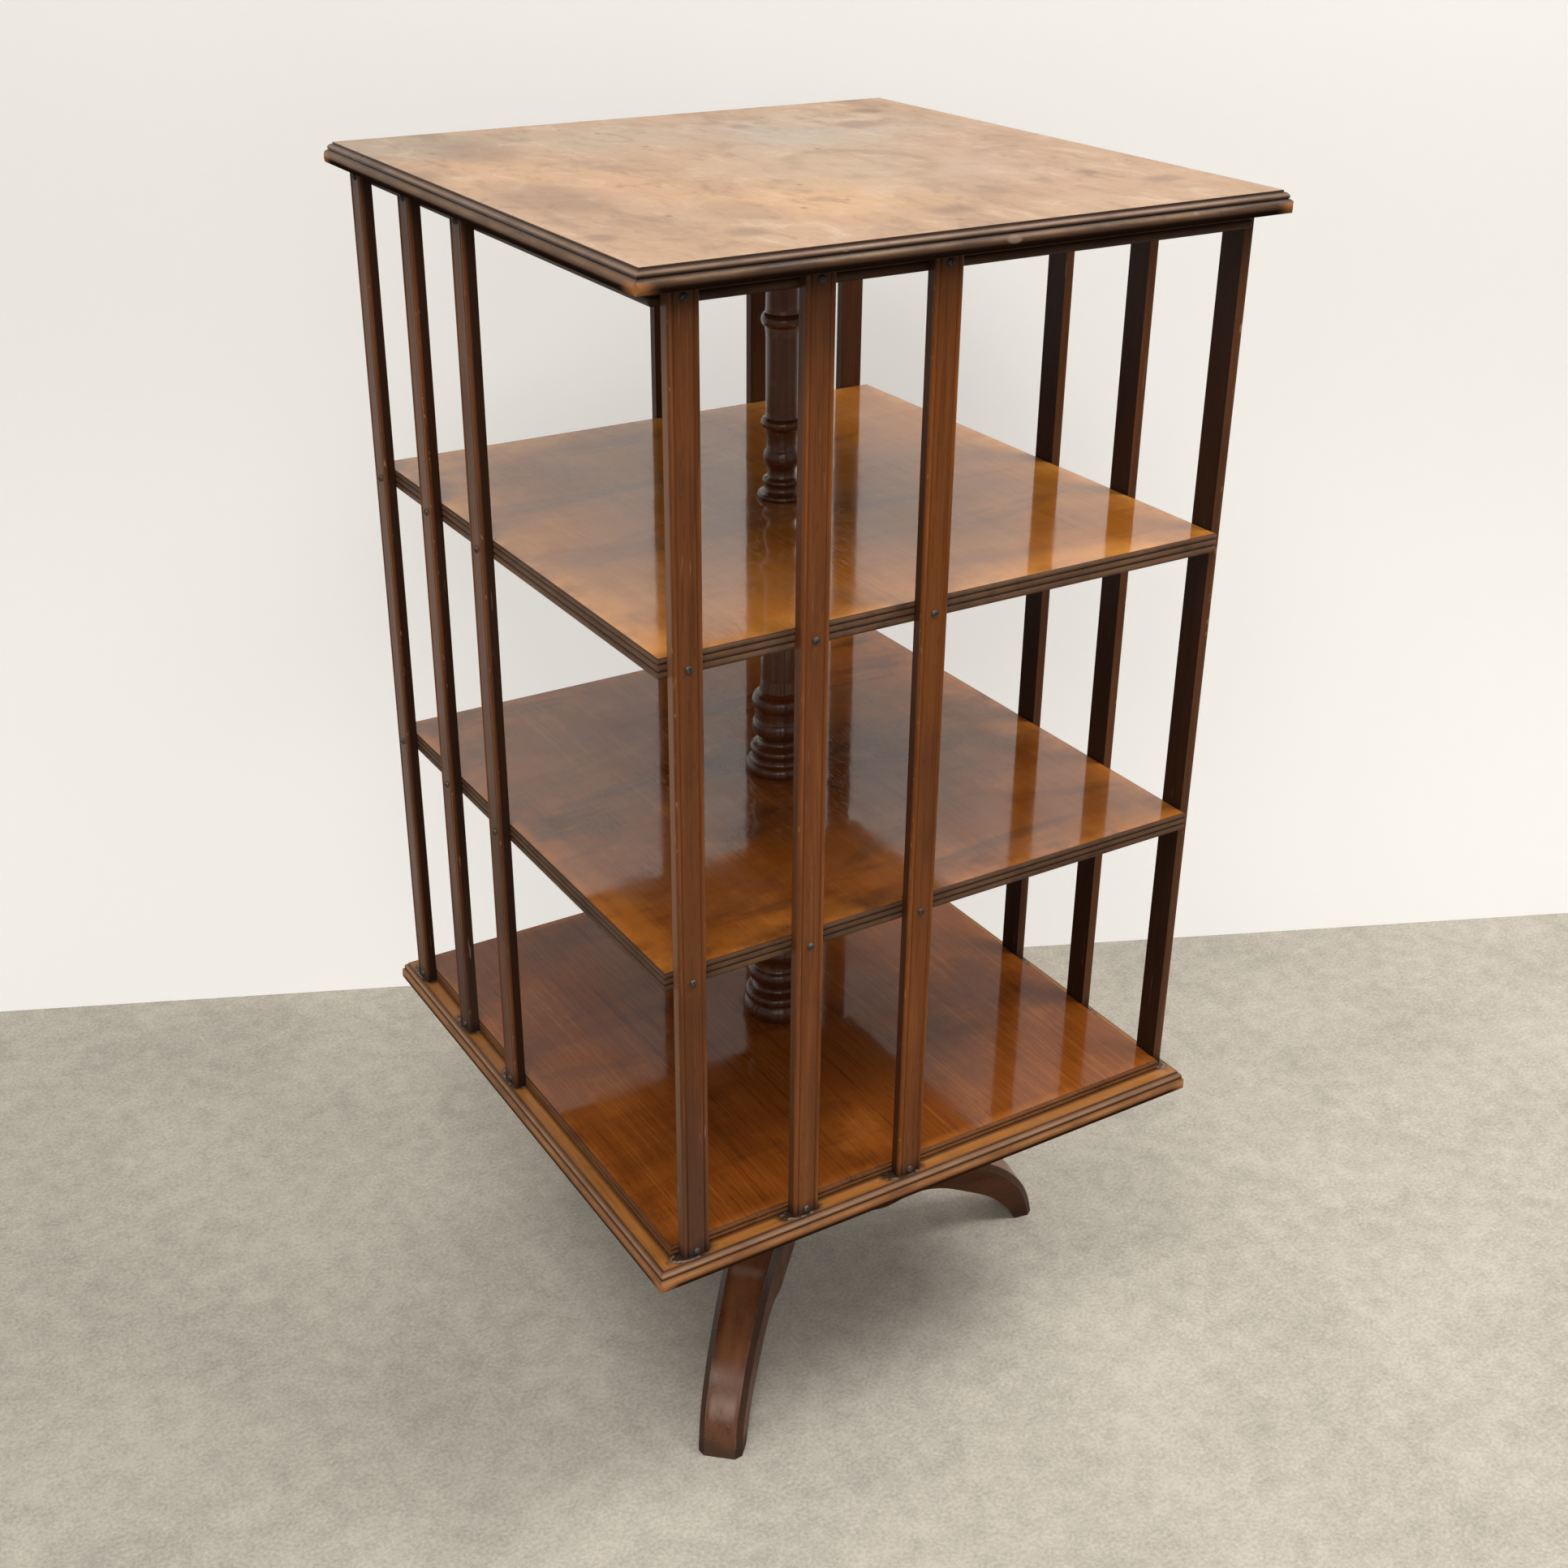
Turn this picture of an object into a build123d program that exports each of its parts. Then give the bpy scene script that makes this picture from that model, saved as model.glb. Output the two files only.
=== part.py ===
from build123d import *
import os
from math import cos, sin, radians

# Revolving bookcase: a square three-tier case of mahogany boards and slats that
# turns on an iron spindle, carried by a low tripod with three arched legs.
# Frame: +Z up, origin on the spindle's axis at floor level. The face seen at the
# right of the front corner looks along -Y, the one at its left along -X.

# ---------------------------------------------------------------- dimensions
# levels above the floor
Z_BASE_BOT = 255.0          # underside of the moulded base board
Z_BASE_TOP = 270.5          # its flat margin, where the slats stand
Z_BOTTOM_TOP = 279.0        # top of the bottom shelf
Z_LOWER_TOP = 515.0         # top of the lower shelf
Z_UPPER_TOP = 748.5         # top of the upper shelf
SHELF_T = 14.5              # thickness of the two loose shelves
Z_UNDER_BOT = 970.0         # underside of the board under the top
Z_TOP_BOT = 982.0           # underside of the moulded top
Z_TOP = 997.0               # top surface
Z_LOWER_BOT = Z_LOWER_TOP - SHELF_T
Z_UPPER_BOT = Z_UPPER_TOP - SHELF_T

# boards, half widths at the crest of their reeds
SHELF_H = 235.0
TOP_H = 254.3
BASE_H = 252.2
REED_B = 1.5                # how far a shelf's reeds stand out of their quirks
CORNER_R = 6.0              # rubbed corners of the moulded boards, in plan
SHELF_CORNER_R = 4.0        # and of the shelves
CORNER_OUT = 0.5            # how far that rounded square stands off the crests

# slats
SLAT_W = 21.5
SLAT_T = 9.0
SLAT_POS = (-217.0, -122.0, -27.0)   # along each face, from its left corner
BEAD_R = 1.7                # bead along each edge of a slat
QUIRK = 0.6                 # floor of the quirk beside the bead
FACE_BACK = 0.2             # the flat lies a little behind the beads

# slat screws, round heads
SCREW_R = 1.5
SCREW_HEAD_R = 2.9
SCREW_HEAD_H = 2.0
SCREW_IN = 17.0             # depth in the edge of the board
# countersunk screws
CSK_R = 2.0
CSK_HEAD_R = 4.0
CSK_HEAD_H = 2.2

# spindle and bearing
SPINDLE_R = 6.0
THREAD_R = 5.0
BUSH_BORE_R = 6.05          # running fit on the spindle
BUSH_R = 11.0
COLUMN_BORE_R = 7.0
SPIGOT_R = 11.0
Z_HUB_BOT = 50.0
Z_HUB_TOP = 243.0
PLATE_T = 4.0
Z_HUB_PLATE_TOP = Z_HUB_TOP + PLATE_T
RING_TOP = 250.7
Z_BASE_PLATE_BOT = Z_BASE_BOT - PLATE_T
HUB_PLATE_R = 58.0
BASE_PLATE_R = 66.0
RING_OUT_R = 42.0
RING_IN_R = 17.0
COLLAR_R = 14.0
Z_SHOULDER = 982.4          # top shoulder of the spindle

# stand
HUB_R = 42.0
HUB_FLANGE_R = 60.0
LEG_ANGLES = {"leg_front": -131.6, "leg_right": -13.0, "leg_back": 107.0}
LEG_HUB_W = 50.0            # width of a leg where it meets the hub
LEG_TOE_W = 36.8            # width at its toe
LEG_TOE_R = 257.5           # outer end of the toe
LEG_HEEL_R = 238.0          # inner end of the toe
LEG_HUB_TOP = 79.0          # height of the leg's top at the hub
LEG_CHAMFER = 5.2
TENON_W = 14.0
TENON_Z = (54.0, 75.0)
TENON_IN_R = 30.0
STRAP_T = 2.5
STRAP_W = 18.0
STRAP_R = 92.0
STRAP_SCREW_R = (62.0, 82.0)

os.makedirs("parts", exist_ok=True)


def trace(points):
    """Lines and arcs through (a, z) points; a four-number entry is an arc's
    middle and end."""
    here = points[0]
    for p in points[1:]:
        if len(p) == 2:
            Line(here, p)
            here = p
        else:
            ThreePointArc(here, (p[0], p[1]), (p[2], p[3]))
            here = (p[2], p[3])


def reeds(half, z0, heights, bulge):
    """Edge of a reeded board, from its underside up."""
    out = [(half - bulge, z0)]
    z = z0
    for t in heights:
        out.append((half, z + t / 2, half - bulge, z + t))
        z += t
    return out


def close_profile(edge):
    """Mirror an edge and join it across the board's two faces."""
    first = edge[0]
    last = edge[-1][-2:]
    Line((-first[0], first[1]), (first[0], first[1]))
    Line((-last[0], last[1]), (last[0], last[1]))


def turned(points, bore):
    """Closed half section of a turned piece round its axis."""
    first = points[0]
    last = points[-1][-2:]
    trace(points)
    Line(last, (bore, last[1]))
    Line((bore, last[1]), (bore, first[1]))
    Line((bore, first[1]), first)


def face_plane(turn, origin_z):
    """Horizontal plane whose x runs along a face from left to right, seen from
    outside, and whose -y points out of it."""
    a = radians(turn)
    return Plane(origin=(0, 0, origin_z), x_dir=(cos(a), sin(a), 0), z_dir=(0, 0, 1))


def out_plane(turn, along, outward, z):
    """Plane on a face, normal pointing out of the case."""
    a = radians(turn)
    x = (cos(a), sin(a), 0)
    n = (sin(a), -cos(a), 0)
    o = (x[0] * along + n[0] * outward, x[1] * along + n[1] * outward, z)
    return Plane(origin=o, x_dir=x, z_dir=n)


FACES = {"front": 0.0, "right": 90.0, "back": 180.0, "left": 270.0}
SCREW_LEVELS = {
    "bottom": (Z_BASE_TOP + Z_BOTTOM_TOP) / 2,
    "lower": Z_LOWER_TOP - SHELF_T / 2,
    "upper": Z_UPPER_TOP - SHELF_T / 2,
    "top": (Z_UNDER_BOT + Z_TOP_BOT) / 2,
}
SLAT_FACE = SHELF_H + SLAT_T - FACE_BACK     # the flat that the heads sit on


def screw_planes(level):
    z = SCREW_LEVELS[level]
    return [out_plane(t, s, SLAT_FACE, z) for t in FACES.values() for s in SLAT_POS]


BOARD_SCREWS = [(x, y) for x in (-188.0, 0.0, 188.0) for y in (-188.0, 0.0, 188.0)
                if (x, y) != (0.0, 0.0)]
HUB_PLATE_SCREWS = [(51 * cos(radians(a)), 51 * sin(radians(a))) for a in (45, 135, 225, 315)]
BASE_PLATE_SCREWS = [(56 * cos(radians(a)), 56 * sin(radians(a))) for a in (0, 90, 180, 270)]

# ---------------------------------------------------------------- boards
# edge of the top, from the underside: a torus, a notch, an ovolo and a small fillet
TOP_EDGE = [(253.0, Z_TOP_BOT), (TOP_H, 986.8, 251.2, 991.2), (250.6, 991.2), (250.6, 991.9),
            (251.1, 991.9), (250.56, 994.34, 248.4, 995.6), (247.9, 995.6), (247.9, Z_TOP)]
with BuildPart() as top_board:
    with BuildSketch(Plane.XZ):
        with BuildLine():
            trace(TOP_EDGE)
            mirror(about=Plane.YZ)
            close_profile(TOP_EDGE)
        make_face()
    extrude(amount=300, both=True)
    with BuildSketch(Plane.YZ):
        with BuildLine():
            trace(TOP_EDGE)
            mirror(about=Plane.YZ)
            close_profile(TOP_EDGE)
        make_face()
    extrude(amount=300, both=True, mode=Mode.INTERSECT)
    with BuildSketch(Plane.XY.offset(Z_TOP_BOT - 5)):
        RectangleRounded(2 * (TOP_H + CORNER_OUT), 2 * (TOP_H + CORNER_OUT), CORNER_R)
    extrude(amount=25, mode=Mode.INTERSECT)
    # pocket over the spindle's nut
    with BuildSketch(Plane.XY.offset(Z_TOP_BOT)):
        Circle(15)
    extrude(amount=10.5, mode=Mode.SUBTRACT)
    with BuildSketch(Plane.XY.offset(Z_TOP_BOT)):
        with Locations(*BOARD_SCREWS):
            Circle(CSK_R)
    extrude(amount=9, mode=Mode.SUBTRACT)
top_board.part.label = "top_board"
export_step(top_board.part, "parts/top_board.step")

# edge of the base: the same moulding
BASE_EDGE = [(251.2, Z_BASE_BOT), (BASE_H, 259.8, 249.6, 264.5), (249.0, 264.5), (249.0, 265.2),
             (249.5, 265.2), (249.05, 267.75, 247.1, 269.1), (246.7, 269.1), (246.7, Z_BASE_TOP)]
with BuildPart() as base_board:
    with BuildSketch(Plane.XZ):
        with BuildLine():
            trace(BASE_EDGE)
            mirror(about=Plane.YZ)
            close_profile(BASE_EDGE)
        make_face()
    extrude(amount=300, both=True)
    with BuildSketch(Plane.YZ):
        with BuildLine():
            trace(BASE_EDGE)
            mirror(about=Plane.YZ)
            close_profile(BASE_EDGE)
        make_face()
    extrude(amount=300, both=True, mode=Mode.INTERSECT)
    with BuildSketch(Plane.XY.offset(Z_BASE_BOT - 5)):
        RectangleRounded(2 * (BASE_H + CORNER_OUT), 2 * (BASE_H + CORNER_OUT), CORNER_R)
    extrude(amount=25, mode=Mode.INTERSECT)
    with BuildSketch(Plane.XY.offset(Z_BASE_BOT)):
        Circle(BUSH_R)
        with Locations(*BOARD_SCREWS):
            Circle(CSK_R)
    extrude(amount=20, mode=Mode.SUBTRACT)
    with BuildSketch(Plane.XY.offset(Z_BASE_BOT)):
        with Locations(*BASE_PLATE_SCREWS):
            Circle(CSK_R)
    extrude(amount=12.5, mode=Mode.SUBTRACT)
    with Locations(*[(x, y, Z_BASE_BOT + CSK_HEAD_H / 2) for x, y in BOARD_SCREWS]):
        Cone(CSK_HEAD_R, CSK_R, CSK_HEAD_H, mode=Mode.SUBTRACT)
base_board.part.label = "base_board"
export_step(base_board.part, "parts/base_board.step")

# bottom shelf, two reeds, standing on the base board
BOTTOM_EDGE = reeds(SHELF_H, Z_BASE_TOP, (4.25, 4.25), REED_B)
with BuildPart() as bottom_shelf:
    with BuildSketch(Plane.XZ):
        with BuildLine():
            trace(BOTTOM_EDGE)
            mirror(about=Plane.YZ)
            close_profile(BOTTOM_EDGE)
        make_face()
    extrude(amount=300, both=True)
    with BuildSketch(Plane.YZ):
        with BuildLine():
            trace(BOTTOM_EDGE)
            mirror(about=Plane.YZ)
            close_profile(BOTTOM_EDGE)
        make_face()
    extrude(amount=300, both=True, mode=Mode.INTERSECT)
    with BuildSketch(Plane.XY.offset(Z_BASE_TOP - 5)):
        RectangleRounded(2 * (SHELF_H + CORNER_OUT), 2 * (SHELF_H + CORNER_OUT), SHELF_CORNER_R)
    extrude(amount=25, mode=Mode.INTERSECT)
    with BuildSketch(Plane.XY.offset(Z_BASE_TOP)):
        Circle(SPIGOT_R)
    extrude(amount=20, mode=Mode.SUBTRACT)
    with BuildSketch(Plane.XY.offset(Z_BASE_TOP)):
        with Locations(*BOARD_SCREWS):
            Circle(CSK_R)
    extrude(amount=5.5, mode=Mode.SUBTRACT)
    for p in screw_planes("bottom"):
        with BuildSketch(p.offset(-(SLAT_T - FACE_BACK))):
            Circle(SCREW_R)
        extrude(amount=-SCREW_IN, mode=Mode.SUBTRACT)
bottom_shelf.part.label = "bottom_shelf"
export_step(bottom_shelf.part, "parts/bottom_shelf.step")

# lower shelf, three reeds
LOWER_EDGE = reeds(SHELF_H, Z_LOWER_BOT, (5.3, 5.3, 3.9), REED_B)
with BuildPart() as shelf_lower:
    with BuildSketch(Plane.XZ):
        with BuildLine():
            trace(LOWER_EDGE)
            mirror(about=Plane.YZ)
            close_profile(LOWER_EDGE)
        make_face()
    extrude(amount=300, both=True)
    with BuildSketch(Plane.YZ):
        with BuildLine():
            trace(LOWER_EDGE)
            mirror(about=Plane.YZ)
            close_profile(LOWER_EDGE)
        make_face()
    extrude(amount=300, both=True, mode=Mode.INTERSECT)
    with BuildSketch(Plane.XY.offset(Z_LOWER_BOT - 5)):
        RectangleRounded(2 * (SHELF_H + CORNER_OUT), 2 * (SHELF_H + CORNER_OUT), SHELF_CORNER_R)
    extrude(amount=25, mode=Mode.INTERSECT)
    with BuildSketch(Plane.XY.offset(Z_LOWER_BOT)):
        Circle(SPIGOT_R)
    extrude(amount=20, mode=Mode.SUBTRACT)
    for p in screw_planes("lower"):
        with BuildSketch(p.offset(-(SLAT_T - FACE_BACK))):
            Circle(SCREW_R)
        extrude(amount=-SCREW_IN, mode=Mode.SUBTRACT)
shelf_lower.part.label = "shelf_lower"
export_step(shelf_lower.part, "parts/shelf_lower.step")

# upper shelf, the same
UPPER_EDGE = reeds(SHELF_H, Z_UPPER_BOT, (5.3, 5.3, 3.9), REED_B)
with BuildPart() as shelf_upper:
    with BuildSketch(Plane.XZ):
        with BuildLine():
            trace(UPPER_EDGE)
            mirror(about=Plane.YZ)
            close_profile(UPPER_EDGE)
        make_face()
    extrude(amount=300, both=True)
    with BuildSketch(Plane.YZ):
        with BuildLine():
            trace(UPPER_EDGE)
            mirror(about=Plane.YZ)
            close_profile(UPPER_EDGE)
        make_face()
    extrude(amount=300, both=True, mode=Mode.INTERSECT)
    with BuildSketch(Plane.XY.offset(Z_UPPER_BOT - 5)):
        RectangleRounded(2 * (SHELF_H + CORNER_OUT), 2 * (SHELF_H + CORNER_OUT), SHELF_CORNER_R)
    extrude(amount=25, mode=Mode.INTERSECT)
    with BuildSketch(Plane.XY.offset(Z_UPPER_BOT)):
        Circle(SPIGOT_R)
    extrude(amount=20, mode=Mode.SUBTRACT)
    for p in screw_planes("upper"):
        with BuildSketch(p.offset(-(SLAT_T - FACE_BACK))):
            Circle(SCREW_R)
        extrude(amount=-SCREW_IN, mode=Mode.SUBTRACT)
shelf_upper.part.label = "shelf_upper"
export_step(shelf_upper.part, "parts/shelf_upper.step")

# board under the top, two reeds
UNDER_EDGE = reeds(SHELF_H, Z_UNDER_BOT, (6.0, 6.0), REED_B)
with BuildPart() as under_top:
    with BuildSketch(Plane.XZ):
        with BuildLine():
            trace(UNDER_EDGE)
            mirror(about=Plane.YZ)
            close_profile(UNDER_EDGE)
        make_face()
    extrude(amount=300, both=True)
    with BuildSketch(Plane.YZ):
        with BuildLine():
            trace(UNDER_EDGE)
            mirror(about=Plane.YZ)
            close_profile(UNDER_EDGE)
        make_face()
    extrude(amount=300, both=True, mode=Mode.INTERSECT)
    with BuildSketch(Plane.XY.offset(Z_UNDER_BOT - 5)):
        RectangleRounded(2 * (SHELF_H + CORNER_OUT), 2 * (SHELF_H + CORNER_OUT), SHELF_CORNER_R)
    extrude(amount=25, mode=Mode.INTERSECT)
    with BuildSketch(Plane.XY.offset(Z_UNDER_BOT)):
        Circle(BUSH_R)
        with Locations(*BOARD_SCREWS):
            Circle(CSK_R)
    extrude(amount=20, mode=Mode.SUBTRACT)
    with Locations(*[(x, y, Z_UNDER_BOT + CSK_HEAD_H / 2) for x, y in BOARD_SCREWS]):
        Cone(CSK_HEAD_R, CSK_R, CSK_HEAD_H, mode=Mode.SUBTRACT)
    for p in screw_planes("top"):
        with BuildSketch(p.offset(-(SLAT_T - FACE_BACK))):
            Circle(SCREW_R)
        extrude(amount=-SCREW_IN, mode=Mode.SUBTRACT)
under_top.part.label = "under_top"
export_step(under_top.part, "parts/under_top.step")

# ---------------------------------------------------------------- slats
# section of a slat: a flat between two beads, with a quirk beside each bead
V_IN = -SHELF_H
V_BEAD = -(SHELF_H + SLAT_T - BEAD_R)
V_FLAT = -SLAT_FACE
HW = SLAT_W / 2
SLAT_HALF = [(HW, V_IN), (HW, V_BEAD),
             (HW - BEAD_R, V_BEAD - BEAD_R, HW - 2 * BEAD_R, V_BEAD),
             (HW - 2 * BEAD_R - QUIRK, V_BEAD),
             (HW - 2 * BEAD_R - QUIRK - 0.45, V_FLAT)]
for face, turn in FACES.items():
    for i, s in enumerate(SLAT_POS):
        name = f"slat_{face}_{i + 1}"
        with BuildPart() as slat:
            with BuildSketch(face_plane(turn, Z_BASE_TOP)):
                with BuildLine():
                    right = [tuple(c + s if k % 2 == 0 else c for k, c in enumerate(p))
                             for p in SLAT_HALF]
                    left = [tuple(s - c if k % 2 == 0 else c for k, c in enumerate(p))
                            for p in SLAT_HALF]
                    trace(right)
                    trace(left)
                    Line(right[0], left[0])
                    Line(right[-1], left[-1])
                make_face()
            extrude(amount=Z_TOP_BOT - Z_BASE_TOP)
            for z in SCREW_LEVELS.values():
                with BuildSketch(out_plane(turn, s, SLAT_FACE + 5, z)):
                    Circle(SCREW_R)
                extrude(amount=-30, mode=Mode.SUBTRACT)
        slat.part.label = name
        export_step(slat.part, f"parts/{name}.step")

# one round-head screw, axis on Z, seat of the head at z = 0
with BuildPart() as round_screw:
    with BuildSketch(Plane.XZ):
        with BuildLine():
            Line((0, SCREW_HEAD_H), (0, -(SLAT_T - FACE_BACK + SCREW_IN)))
            Line((0, -(SLAT_T - FACE_BACK + SCREW_IN)), (SCREW_R, -(SLAT_T - FACE_BACK + SCREW_IN) + 3))
            Line((SCREW_R, -(SLAT_T - FACE_BACK + SCREW_IN) + 3), (SCREW_R, 0))
            Line((SCREW_R, 0), (SCREW_HEAD_R, 0))
            ThreePointArc((SCREW_HEAD_R, 0), (SCREW_HEAD_R * 0.72, SCREW_HEAD_H * 0.72), (0, SCREW_HEAD_H))
        make_face()
    revolve(axis=Axis.Z)
    with Locations((0, 0, SCREW_HEAD_H)):
        Box(SCREW_HEAD_R * 2.2, 0.7, 1.5, mode=Mode.SUBTRACT)

SLOT_TURNS = (20, 75, 130, 40, 160, 95, 5, 115, 60, 145, 85, 30)
for k, level in enumerate(SCREW_LEVELS):
    with BuildPart() as slat_screws:
        for j, p in enumerate(screw_planes(level)):
            with Locations(Location(p) * Rotation(0, 0, SLOT_TURNS[(j + 5 * k) % 12])):
                add(round_screw.part)
    slat_screws.part.label = f"slat_screws_{level}"
    export_step(slat_screws.part, f"parts/slat_screws_{level}.step")

# ---------------------------------------------------------------- columns
LOWER_TURNING = [(27.8, 279.0), (30.1, 286.3, 27.2, 293.6), (26.4, 294.2),
                 (28.2, 299.0, 25.2, 303.6), (21.6, 304.6), (19.4, 309.0, 21.8, 312.8),
                 (26.0, 320.0, 22.6, 327.0), (21.8, 328.4), (21.3, 332.5, 22.2, 336.6),
                 (25.4, 344.0, 21.0, 351.0), (18.8, 353.6), (17.8, 364.0), (17.4, 372.0),
                 (16.6, 456.0), (17.8, 458.0), (21.4, 463.2, 17.8, 468.4), (17.0, 470.0),
                 (16.8, 478.0), (17.8, 479.5), (21.2, 484.3, 18.6, 489.0), (21.4, 490.0),
                 (24.0, 493.6, 23.0, 496.6), (24.4, 497.0), (24.4, Z_LOWER_BOT)]
MIDDLE_TURNING = [(26.6, 515.0), (27.9, 519.5, 25.6, 524.0), (23.4, 524.5),
                  (21.8, 528.0, 22.4, 530.6), (24.1, 534.2, 21.8, 538.0), (18.6, 539.0),
                  (16.3, 543.0, 18.8, 546.6), (22.6, 553.5, 20.4, 560.5), (20.0, 562.0),
                  (19.8, 566.0, 20.2, 570.0), (22.7, 577.0, 18.8, 583.5), (16.6, 586.0),
                  (15.6, 596.0), (15.4, 605.0), (14.6, 690.0), (15.6, 692.0),
                  (18.8, 696.8, 15.6, 701.6), (14.8, 703.0), (14.6, 712.0), (15.6, 713.5),
                  (18.6, 718.0, 16.2, 722.5), (18.8, 723.5), (21.0, 727.0, 20.0, 730.0),
                  (21.4, 730.5), (21.4, Z_UPPER_BOT)]
UPPER_TURNING = [(18.2, 748.5), (18.9, 750.7, 17.6, 753.0), (15.2, 753.4),
                 (12.9, 757.0, 13.4, 759.5), (14.9, 762.0, 13.2, 764.5), (11.2, 765.5),
                 (10.4, 769.2, 11.2, 772.8), (14.3, 780.0, 12.4, 787.0),
                 (11.6, 794.5, 13.0, 802.5), (14.0, 803.5), (16.2, 807.6, 14.0, 811.5),
                 (13.0, 812.0), (12.6, 816.0), (12.7, 874.0), (13.2, 878.0), (13.4, 881.0),
                 (16.4, 886.3, 13.4, 891.5), (13.0, 894.0), (12.8, 905.0), (12.4, 940.0),
                 (13.4, 942.5), (15.8, 946.6, 13.4, 950.0), (12.6, 954.0, 14.2, 959.0),
                 (15.6, 959.5), (17.4, 963.2, 16.6, 966.0), (18.2, 966.5), (18.2, Z_UNDER_BOT)]

Z_BUSH_LOW_TOP = 263.5
with BuildPart() as column_lower:
    with BuildSketch(Plane.XZ):
        with BuildLine():
            turned([(SPIGOT_R, Z_BUSH_LOW_TOP), (SPIGOT_R, 279.0)] + LOWER_TURNING
                   + [(SPIGOT_R, Z_LOWER_BOT), (SPIGOT_R, Z_LOWER_BOT + SHELF_T / 2)], COLUMN_BORE_R)
        make_face()
    revolve(axis=Axis.Z)
column_lower.part.label = "column_lower"
export_step(column_lower.part, "parts/column_lower.step")

with BuildPart() as column_middle:
    with BuildSketch(Plane.XZ):
        with BuildLine():
            turned([(SPIGOT_R, Z_LOWER_BOT + SHELF_T / 2), (SPIGOT_R, 515.0)] + MIDDLE_TURNING
                   + [(SPIGOT_R, Z_UPPER_BOT), (SPIGOT_R, Z_UPPER_BOT + SHELF_T / 2)], COLUMN_BORE_R)
        make_face()
    revolve(axis=Axis.Z)
column_middle.part.label = "column_middle"
export_step(column_middle.part, "parts/column_middle.step")

Z_BUSH_TOP_BOT = 976.0
with BuildPart() as column_upper:
    with BuildSketch(Plane.XZ):
        with BuildLine():
            turned([(SPIGOT_R, Z_UPPER_BOT + SHELF_T / 2), (SPIGOT_R, 748.5)] + UPPER_TURNING
                   + [(SPIGOT_R, Z_UNDER_BOT), (SPIGOT_R, Z_BUSH_TOP_BOT)], COLUMN_BORE_R)
        make_face()
    revolve(axis=Axis.Z)
column_upper.part.label = "column_upper"
export_step(column_upper.part, "parts/column_upper.step")

# ---------------------------------------------------------------- bearing
# brass bushes at the two ends of the columns
with BuildPart() as lower_bush:
    with BuildSketch(Plane.XY.offset(Z_BASE_BOT)):
        Circle(BUSH_R)
    extrude(amount=Z_BUSH_LOW_TOP - Z_BASE_BOT)
    with BuildSketch(Plane.XY.offset(Z_BASE_BOT)):
        Circle(15.5)
    extrude(amount=-3)
    with BuildSketch(Plane.XY.offset(Z_BASE_BOT - 5)):
        Circle(BUSH_BORE_R)
    extrude(amount=20, mode=Mode.SUBTRACT)
lower_bush.part.label = "lower_bush"
export_step(lower_bush.part, "parts/lower_bush.step")

with BuildPart() as upper_bush:
    with BuildSketch(Plane.XY.offset(Z_BUSH_TOP_BOT)):
        Circle(BUSH_R)
        Circle(BUSH_BORE_R, mode=Mode.SUBTRACT)
    extrude(amount=Z_TOP_BOT - Z_BUSH_TOP_BOT)
upper_bush.part.label = "upper_bush"
export_step(upper_bush.part, "parts/upper_bush.step")

# iron plate under the base board, which runs on the ring
with BuildPart() as base_plate:
    with BuildSketch(Plane.XY.offset(Z_BASE_PLATE_BOT)):
        Circle(BASE_PLATE_R)
        Circle(RING_IN_R - 0.5, mode=Mode.SUBTRACT)
    extrude(amount=PLATE_T)
    chamfer(base_plate.edges().filter_by(GeomType.CIRCLE).group_by(SortBy.RADIUS)[-1], 0.6)
    with BuildSketch(Plane.XY.offset(Z_BASE_PLATE_BOT)):
        with Locations(*BASE_PLATE_SCREWS):
            Circle(CSK_R)
    extrude(amount=PLATE_T, mode=Mode.SUBTRACT)
    with Locations(*[(x, y, Z_BASE_PLATE_BOT + CSK_HEAD_H / 2) for x, y in BASE_PLATE_SCREWS]):
        Cone(CSK_HEAD_R, CSK_R, CSK_HEAD_H, mode=Mode.SUBTRACT)
base_plate.part.label = "base_plate"
export_step(base_plate.part, "parts/base_plate.step")

# bronze ring that carries the case
with BuildPart() as thrust_ring:
    with BuildSketch(Plane.XY.offset(Z_HUB_PLATE_TOP)):
        Circle(RING_OUT_R)
        Circle(RING_IN_R, mode=Mode.SUBTRACT)
    extrude(amount=RING_TOP - Z_HUB_PLATE_TOP)
thrust_ring.part.label = "thrust_ring"
export_step(thrust_ring.part, "parts/thrust_ring.step")

# iron plate on the hub
with BuildPart() as hub_plate:
    with BuildSketch(Plane.XY.offset(Z_HUB_TOP)):
        Circle(HUB_PLATE_R)
        Circle(SPINDLE_R, mode=Mode.SUBTRACT)
    extrude(amount=PLATE_T)
    chamfer(hub_plate.edges().filter_by(GeomType.CIRCLE).group_by(SortBy.RADIUS)[-1], 0.6)
    with BuildSketch(Plane.XY.offset(Z_HUB_TOP)):
        with Locations(*HUB_PLATE_SCREWS):
            Circle(CSK_R)
    extrude(amount=PLATE_T, mode=Mode.SUBTRACT)
    with Locations(*[(x, y, Z_HUB_PLATE_TOP - CSK_HEAD_H / 2) for x, y in HUB_PLATE_SCREWS]):
        Cone(CSK_R, CSK_HEAD_R, CSK_HEAD_H, mode=Mode.SUBTRACT)
hub_plate.part.label = "hub_plate"
export_step(hub_plate.part, "parts/hub_plate.step")

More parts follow.
